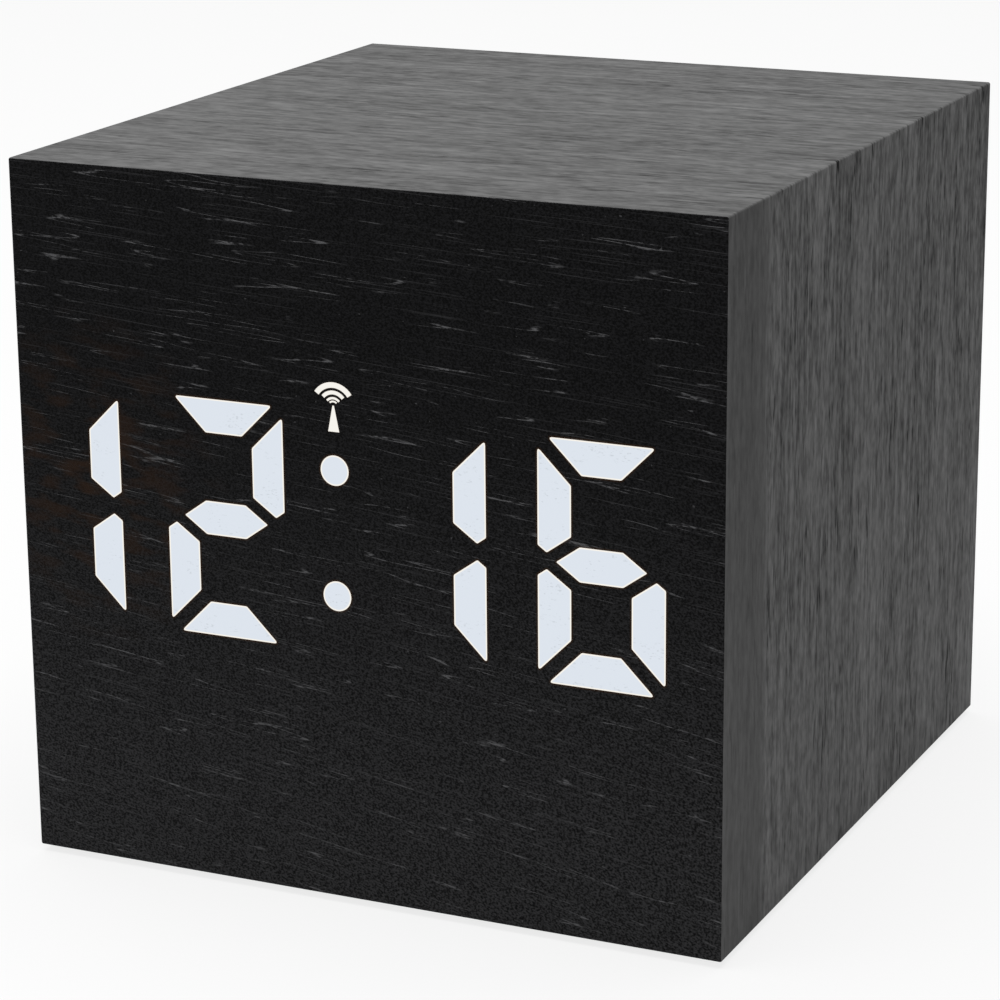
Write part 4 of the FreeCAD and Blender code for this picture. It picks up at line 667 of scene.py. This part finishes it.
SIGNS = ("hour_tens_bars", "hour_ones_bars", "minute_tens_bars", "minute_ones_bars", "colon_dots", "radio_sign")
# In millimetres, for the numerals and for the small radio sign: how far the brown halo reaches out, where the
# cream rim ends and where the flat white starts. Cream is the share of the rim's colour left in that white.
# The halo is painted glow: the lamps' light round each opening, painted brown into the black film
NUMERAL_EDGE = {"halo": 0.20, "rim": 0.09, "white": 0.14, "cream": 0.0}
SIGN_EDGE = {"halo": 0.05, "rim": 0.02, "white": 0.035, "cream": 0.8}


def crisp(loop):
    """A bar's outline with crisp corners: the sides longer than 0.3 mm are drawn on to their crossings, and each
    crossing is eased by 0.12 mm, or by 0.45 mm at a tip sharper than 60 degrees."""
    least_side, ease, tip_ease, tip_turn = 0.3, 0.12, 0.45, math.cos(math.radians(120))
    run = np.roll(loop, -1, axis=0) - loop
    length = np.hypot(*run.T)
    start, way = loop[length > least_side], (run / length[:, None])[length > least_side]
    on, turn = np.roll(start, -1, axis=0), np.roll(way, -1, axis=0)
    gap = on - start
    reach = (gap[:, 0] * turn[:, 1] - gap[:, 1] * turn[:, 0]) / (way[:, 0] * turn[:, 1] - way[:, 1] * turn[:, 0])
    tip = (way * turn).sum(1) < tip_turn
    return rounded(start + reach[:, None] * way, np.where(tip, tip_ease, ease))


def lit_outlines(node):
    """The outlines of one lit node. The two dots are drawn as true circles inside the node's box."""
    if node == "radio_sign":
        return front_outlines(node)
    if node != "colon_dots":
        return [crisp(loop) for loop in front_outlines(node)]
    low, high = corner_box(node)
    radius = (high[0] - low[0]) / 2
    return [circle(low[0] + radius, z, radius) for z in (low[2] + radius, high[2] - radius)]


def front_film_sheet(outlines):
    """The black front film: a flat sheet whose edge rounds back to the mitre, inset r (1 - cos a) at depth
    r (1 - sin a), with an opening for each lit shape. A narrow band round each opening carries the halo, the
    lamps' glow painted brown into the film."""
    turn = np.radians(np.linspace(90, 45, 5))
    rim = [(case_loop(EDGE_ROUND * (1 - np.cos(a))), FRONT + EDGE_ROUND * (1 - np.sin(a))) for a in turn]
    rim.append((case_loop(FILM), FRONT + FILM))
    forms = [bands(rim)]
    marks = [np.zeros(len(forms[0][0]))]
    around = []
    for node, loops in outlines.items():
        reach = (SIGN_EDGE if node == "radio_sign" else NUMERAL_EDGE)["halo"]
        for loop in loops:
            outside = inward(loop, -reach)
            forms.append(bands([(loop, FRONT + FILM), (loop, FRONT), (outside, FRONT)]))
            marks.append(np.repeat([1.0, 1.0, 0.0], len(loop)))
            around.append(outside)
    openings = [loop for loops in outlines.values() for loop in loops]
    for sheet in (filled([rim[0][0]] + around, FRONT), filled([rim[-1][0]] + openings, FRONT + FILM)):
        forms.append(sheet)
        marks.append(np.zeros(len(sheet[0])))
    points, faces = together(*forms)
    piece("front_film_sheet", "case", points, faces, BLACK_FILM, 35.0, ("front_film", "unlit_bars"),
          {"halo": np.concatenate(marks)})


def lit_shapes(node, loops):
    """The lit parts of the film: each outline goes in by the width of its cream rim, then by a little more to
    the flat white, and the back and the side close it."""
    edge = SIGN_EDGE if node == "radio_sign" else NUMERAL_EDGE
    forms, marks = [], []
    for loop in loops:
        points, faces = bands([(loop, FRONT + FILM), (loop, FRONT), (inward(loop, edge["rim"]), FRONT),
                               (inward(loop, edge["white"]), FRONT)])
        count = len(loop)
        faces = faces + [list(range(3 * count, 4 * count)), list(range(count))]
        forms.append((points, faces))
        marks.append(np.repeat([1.0, 1.0, 1.0, edge["cream"]], count))
    points, faces = together(*forms)
    piece(node + "_glow", "case", points, faces, LIT_FILM, 35.0, (node,), {"rim": np.concatenate(marks)})


wrap_film()
OUTLINES = {node: lit_outlines(node) for node in SIGNS}
front_film_sheet(OUTLINES)
for node, loops in OUTLINES.items():
    lit_shapes(node, loops)


# Back: cover, keys, slide knob, socket, grille and legends

def key_cap(name):
    """A push-button: a turned cap with a flange inside the cover, a rounded shoulder and a dished top at level
    top - dip * (1 - (r / rim radius)^2)."""
    low, high = corner_box(name + "_button")
    flange_width, flange_height, rim, dip = 0.9, 0.8, 0.5, 0.3
    x, z = (low[0] + high[0]) / 2, (low[2] + high[2]) / 2
    base, top, flange = low[1], high[1], (high[0] - low[0]) / 2
    cap = flange - flange_width
    across = np.linspace(cap - rim, 0, 8)
    dish = np.stack([top - dip * (1 - (across / (cap - rim)) ** 2), across], -1)
    wall = rounded([(base, 0), (base, flange), (base + flange_height, flange), (base + flange_height, cap),
                    (top, cap), (top, cap - rim)], [0, 0.08, 0.08, 0, 0.35, 0])
    points, faces = turned(np.concatenate([wall, dish[1:]]), (x, 0, z))
    piece(name + "_key_cap", name + "_key", points, faces, KEY_ABS, 40.0, (name + "_button",))


def grille_ring():
    """A raised bead round the speaker holes: a turned half ring of section (level + height * sin a,
    radius + half width * cos a), for a from 0 to 180 degrees, sunk a little into the cover."""
    low, high = corner_box("speaker_gasket")
    radius, half_width, height, sunk = 12.3, 0.55, 0.45, 0.05
    turn = np.linspace(0, np.pi, 9)
    section = np.stack([COVER_FACE - sunk + height * np.sin(turn), radius + half_width * np.cos(turn)], -1)
    points, faces = turned(np.concatenate([section, section[:1]]), (0, 0, (low[2] + high[2]) / 2), count=120)
    piece("grille_ring", "case", points, faces, COVER_ABS, 40.0)


def knob_grip():
    """The finger grip of the slide knob: a small block whose top rises in three ridges,
    level + height * |sin(pi * step / pitch)|^0.7, with the step counted from its left end."""
    low, high = corner_box("slide_knob")
    x, z, top = (low[0] + high[0]) / 2, (low[2] + high[2]) / 2, high[1]
    half_length, half_width, pitch, height = 0.9, 1.0, 0.6, 0.28
    sunk, foot = top - 0.02, top - 0.1
    across = np.linspace(-half_length, half_length, 37)
    ridge = sunk + height * np.abs(np.sin(np.pi * (across + half_length) / pitch)) ** 0.7
    profile = np.concatenate([np.stack([across, ridge], -1), [[half_length, foot], [-half_length, foot]]])
    points = np.array([[(x + a, y, z + side) for a, y in profile] for side in (-half_width, half_width)])
    count = len(profile)
    faces = ring_faces(2, count) + [list(range(count)), list(range(count, 2 * count))]
    piece("knob_grip", "sound_slide", points, faces, KEY_ABS, 25.0)


def socket_contacts():
    """Five gold contacts on the under side of the socket's tongue: flat bars side by side at an even pitch."""
    low, high = corner_box("socket_tongue")
    x, z = (low[0] + high[0]) / 2, (low[2] + high[2]) / 2
    pitch, half_width = 0.65, 0.15
    inner_end, outer_end, under, over = high[1] - 3.2, high[1] - 0.3, z - 0.39, z - 0.34
    forms = []
    for step in range(-2, 3):
        left, right = x + step * pitch - half_width, x + step * pitch + half_width
        corners = [(left, inner_end), (right, inner_end), (right, outer_end), (left, outer_end)]
        points = [(*corner, level) for level in (under, over) for corner in corners]
        forms.append((points, [[0, 1, 2, 3], [4, 5, 6, 7]] + ring_faces(2, 4)))
    points, faces = together(*forms)
    piece("socket_contacts", "case", points, faces, GOLD_FLASH)


# Thickness of printed ink, and how far its middle lies above the plastic, in millimetres
INK_HEIGHT, INK_LIFT = 0.03, 0.01


def lettering(name, body, text, size, bold, place):
    """Printed letters made a mesh. Place takes each point's two steps along the text and its step out of the
    face, in millimetres, to its place on the object."""
    curve = bpy.data.curves.new(name, "FONT")
    curve.body, curve.size, curve.offset = text, size, bold
    curve.align_x, curve.align_y = "CENTER", "CENTER"
    curve.extrude, curve.resolution_u = INK_HEIGHT / 2, 4
    shown = bpy.data.objects.new(name, curve)
    bpy.context.scene.collection.objects.link(shown)
    bpy.context.view_layer.update()
    mesh = bpy.data.meshes.new_from_object(shown)
    bpy.data.objects.remove(shown)
    spots = np.zeros(len(mesh.vertices) * 3)
    mesh.vertices.foreach_get("co", spots)
    placed = np.stack(place(*spots.reshape(-1, 3).T), -1) * MM
    mesh.vertices.foreach_set("co", placed.ravel())
    mesh.update()
    dress(name, body, mesh, INK, 30.0)


def legend(name, text, x, z, size, bold):
    """Printed letters on the rear cover, read from behind."""
    lettering("legend_" + name, "case", text, size, bold,
              lambda along, up, out: (x - along, COVER_FACE + INK_LIFT + out, z + up))


eased_edges("rear_cover", "case", 0.18, COVER_ABS)
eased_edges("rear_screws", "case", 0.08, SCREW_STEEL)
eased_edges("socket_shell", "case", 0.07, SHELL_STEEL)
eased_edges("socket_tongue", "case", 0.06, CARRIER_LCP)
eased_edges("slide_knob", "sound_slide", 0.12, KEY_ABS)
for key in ("talk", "down", "up", "set"):
    key_cap(key)
grille_ring()
knob_grip()
socket_contacts()
# Heights of the two rows of legends: under the keys, and beside the socket and the slide knob
KEY_ROW, SOCKET_ROW = 19.7, 15.5
legend("set", "SET", 15.0, KEY_ROW, 2.1, 0.03)
legend("up", "+", 5.0, KEY_ROW, 2.8, 0.05)
legend("down", "\u2013", -5.0, KEY_ROW, 2.8, 0.05)
legend("talk", "TALK", -15.0, KEY_ROW, 2.1, 0.03)
legend("low", "LO", -7.0, SOCKET_ROW, 1.9, 0.025)
legend("high", "HI", -15.0, SOCKET_ROW, 1.9, 0.025)
legend("power", "5V", 17.8, SOCKET_ROW, 1.9, 0.025)


# Underside: feet, battery door and cells

def rubber_feet():
    """Four round feet: each a turned disc with rounded lower and upper edges round a flat sole."""
    high = corner_box("rubber_feet")[1]
    radius, sole, shoulder, top = 4.0, 3.7, 3.8, high[2]
    profile = rounded([(0, 0), (0, sole), (0, radius), (top, radius), (top, shoulder), (top, 0)],
                      [0, 0, 0.2, 0.06, 0, 0])
    points, faces = together(*[turned(profile, (side * (high[0] - radius), way * (high[1] - radius), 0), "z", 64)
                               for side in (1, -1) for way in (1, -1)])
    piece("foot_discs", "case", points, faces, FOOT_RUBBER, 40.0, ("rubber_feet",))


def cell_rows():
    """The radius of a cell, and the places along Y of the front, the middle and the rear cell."""
    low, high = corner_box("batteries")
    radius = (high[2] - low[2]) / 2
    first, last = low[1] + radius, high[1] - radius
    return radius, (first, (first + last) / 2, last)


def dry_cells():
    """Three cells: each a turned form along X with a rolled sleeve edge, a recessed flat end and a nub. Extra
    rings along the sleeve keep the edge of its dark band sharp."""
    low, high = corner_box("batteries")
    radius, rows = cell_rows()
    count, tip, end = 56, high[0], 2.1 - high[0]
    shoulder, rim, nub, band_length = tip - 1.0, 3.4, 1.9, 13.0
    profile = rounded([(end + 0.15, 0), (end + 0.15, rim), (end, rim + 0.3), (end, radius), (shoulder, radius),
                       (shoulder, rim), (shoulder - 0.2, rim - 0.3), (shoulder - 0.2, nub), (tip, nub), (tip, 0)],
                      [0, 0, 0, 0.45, 0.45, 0, 0.1, 0, 0.3, 0])
    sleeve = np.linspace(end + 0.6, shoulder - 0.6, 40)[1:-1]
    at = int(np.argmax((profile[:, 0] > end + 0.4) & (profile[:, 1] >= radius - 1e-6)))
    profile = np.insert(profile, at, np.stack([sleeve, np.full(len(sleeve), radius)], -1), axis=0)
    covered = profile[:, 1] > rim + 0.05
    dark = covered & (profile[:, 0] > tip - band_length)
    forms = [turned(profile * (side, 1), (0, y, low[2] + radius), "x", count) for y, side in zip(rows, (1, -1, 1))]
    points, faces = together(*forms)
    band, steel = (np.tile(np.repeat(mark.astype(float), count), len(forms)) for mark in (dark, ~covered))
    piece("dry_cells", "case", points, faces, CELL_SLEEVE, 35.0, ("batteries",), {"band": band, "steel": steel})


def door_arrow():
    """A raised arrow on the battery door that points to its finger scoop: a triangle with sloping walls."""
    low, high = corner_box("battery_door")
    face, half_width, foot, point = low[2], 3.0, high[1] - 11.5, high[1] - 8.0
    sunk, slope, height = 0.1, 0.12, 0.2
    flat = np.array([(-half_width, foot), (half_width, foot), (0.0, point)])
    rings = [(flat, face + sunk), (flat, face - slope), (inward(flat, slope), face - height)]
    points = np.concatenate([np.column_stack([loop, np.full(3, level)]) for loop, level in rings])
    faces = ring_faces(3, 3) + [[0, 1, 2], [6, 7, 8]]
    piece("door_arrow", "door", points, faces, COVER_ABS)


def scoop_ribs():
    """Three half-sunk ribs on the floor of the finger scoop, each a turned bar along X with rounded ends."""
    low, high = corner_box("battery_door")
    floor, middle = low[2] + 0.9, high[1] - 3.2
    half_length, radius, pitch = 5.2, 0.35, 1.1
    profile = rounded([(-half_length, 0), (-half_length, radius), (half_length, radius), (half_length, 0)],
                      [0, 0.3, 0.3, 0])
    points, faces = together(*[turned(profile, (0, middle + step, floor), "x", 24) for step in (-pitch, 0, pitch)])
    piece("scoop_ribs", "door", points, faces, COVER_ABS, 40.0)


def cell_marks():
    """Printed marks on the inner side of the battery door, read from behind when it hangs open: they say which
    way round each cell lies. The outer two are 1 mm nearer the middle than their cells."""
    top = corner_box("battery_door")[1][2]
    front, middle, back = cell_rows()[1]
    for name, y, text in (("front", front + 1.0, "+      AAA      \u2013"),
                          ("middle", middle, "\u2013      AAA      +"),
                          ("back", back - 1.0, "+      AAA      \u2013")):
        lettering("cell_mark_" + name, "door", text, 3.6, 0.04,
                  lambda along, up, out, y=y: (-along, y - up, top + INK_LIFT + out))


eased_edges("battery_door", "door", 0.18, COVER_ABS)
rubber_feet()
dry_cells()
door_arrow()
scoop_ribs()
cell_marks()


# Floor, lamps and camera

# The surround's light on the object, and the lamp's in watts
SKY, OVERHEAD = 0.4, 8.0
WHITE = (1.0, 1.0, 1.0, 1.0)


def direct_rays(tree):
    """1 for a ray from the camera, a reflection or clear glass, which see the surround as white, else 0."""
    seen = 0.0
    for ray in ("Is Camera Ray", "Is Glossy Ray", "Is Transmission Ray"):
        seen = add(tree, "Math", {0: seen, 1: add(tree, "LightPath", {}, ray)}, operation="MAXIMUM")
    return seen


def white_floor():
    """A square floor, 12 m wide, that keeps the cube's shadow: it shows four fifths as plain white and one fifth
    as pale paint, and throws mid grey light back at the object."""
    half = 6.0
    mesh = bpy.data.meshes.new("floor")
    mesh.from_pydata([(-half, -half, 0), (half, -half, 0), (half, half, 0), (-half, half, 0)], [], [[0, 1, 2, 3]])
    floor = bpy.data.objects.new("floor", mesh)
    bpy.context.scene.collection.objects.link(floor)
    material = bpy.data.materials.new("painted_white_floor")
    material.use_nodes = True
    tree = material.node_tree
    tree.nodes.clear()
    seen = direct_rays(tree)
    shown = add(tree, "Mix", {SHARE: seen, ONE: (0.45, 0.45, 0.45, 1), TWO: (0.85, 0.85, 0.85, 1)}, **COLOURS)
    paint = add(tree, "BsdfDiffuse", {"Color": shown})
    white = add(tree, "Emission", {"Color": WHITE, "Strength": 1.0})
    share = add(tree, "MapRange", {"Value": seen, "To Max": 0.8})
    finish = add(tree, "MixShader", {0: share, 1: paint, 2: white})
    tree.links.new(finish, tree.nodes.new("ShaderNodeOutputMaterial").inputs["Surface"])
    mesh.materials.append(material)


def white_surround():
    """A world that shows white and lights the object at a plain level."""
    world = bpy.data.worlds.new("white_surround")
    bpy.context.scene.world = world
    world.use_nodes = True
    tree = world.node_tree
    tree.nodes.clear()
    strength = add(tree, "MapRange", {"Value": direct_rays(tree), "To Min": SKY, "To Max": 1.0})
    sky = add(tree, "Background", {"Color": WHITE, "Strength": strength})
    tree.links.new(sky, tree.nodes.new("ShaderNodeOutputWorld").inputs["Surface"])


def overhead_softbox():
    """A large square lamp 0.9 m above the base, a little left of the cube and in front of it."""
    lamp = bpy.data.lights.new("overhead_softbox", "AREA")
    lamp.shape, lamp.size, lamp.energy = "SQUARE", 0.9, OVERHEAD
    overhead = bpy.data.objects.new("overhead_softbox", lamp)
    overhead.location = (-0.05, -0.05, 0.9)
    bpy.context.scene.collection.objects.link(overhead)


def photograph_camera():
    """The camera at the photograph's viewing angle, in front of the cube on its right and above it."""
    lens, tilt, roll, swing = 124.1013, 73.77788, 0.4728, 24.73822
    view = bpy.data.cameras.new("camera")
    view.lens = lens
    view.sensor_width = 36
    view.clip_start = 0.01
    eye = bpy.data.objects.new("camera", view)
    eye.location = (0.12558255, -0.27694571, 0.11565408)
    eye.rotation_euler = [math.radians(angle) for angle in (tilt, roll, swing)]
    bpy.context.scene.collection.objects.link(eye)
    bpy.context.scene.camera = eye
    bpy.context.scene.view_settings.view_transform = "Standard"


white_floor()
white_surround()
overhead_softbox()
photograph_camera()
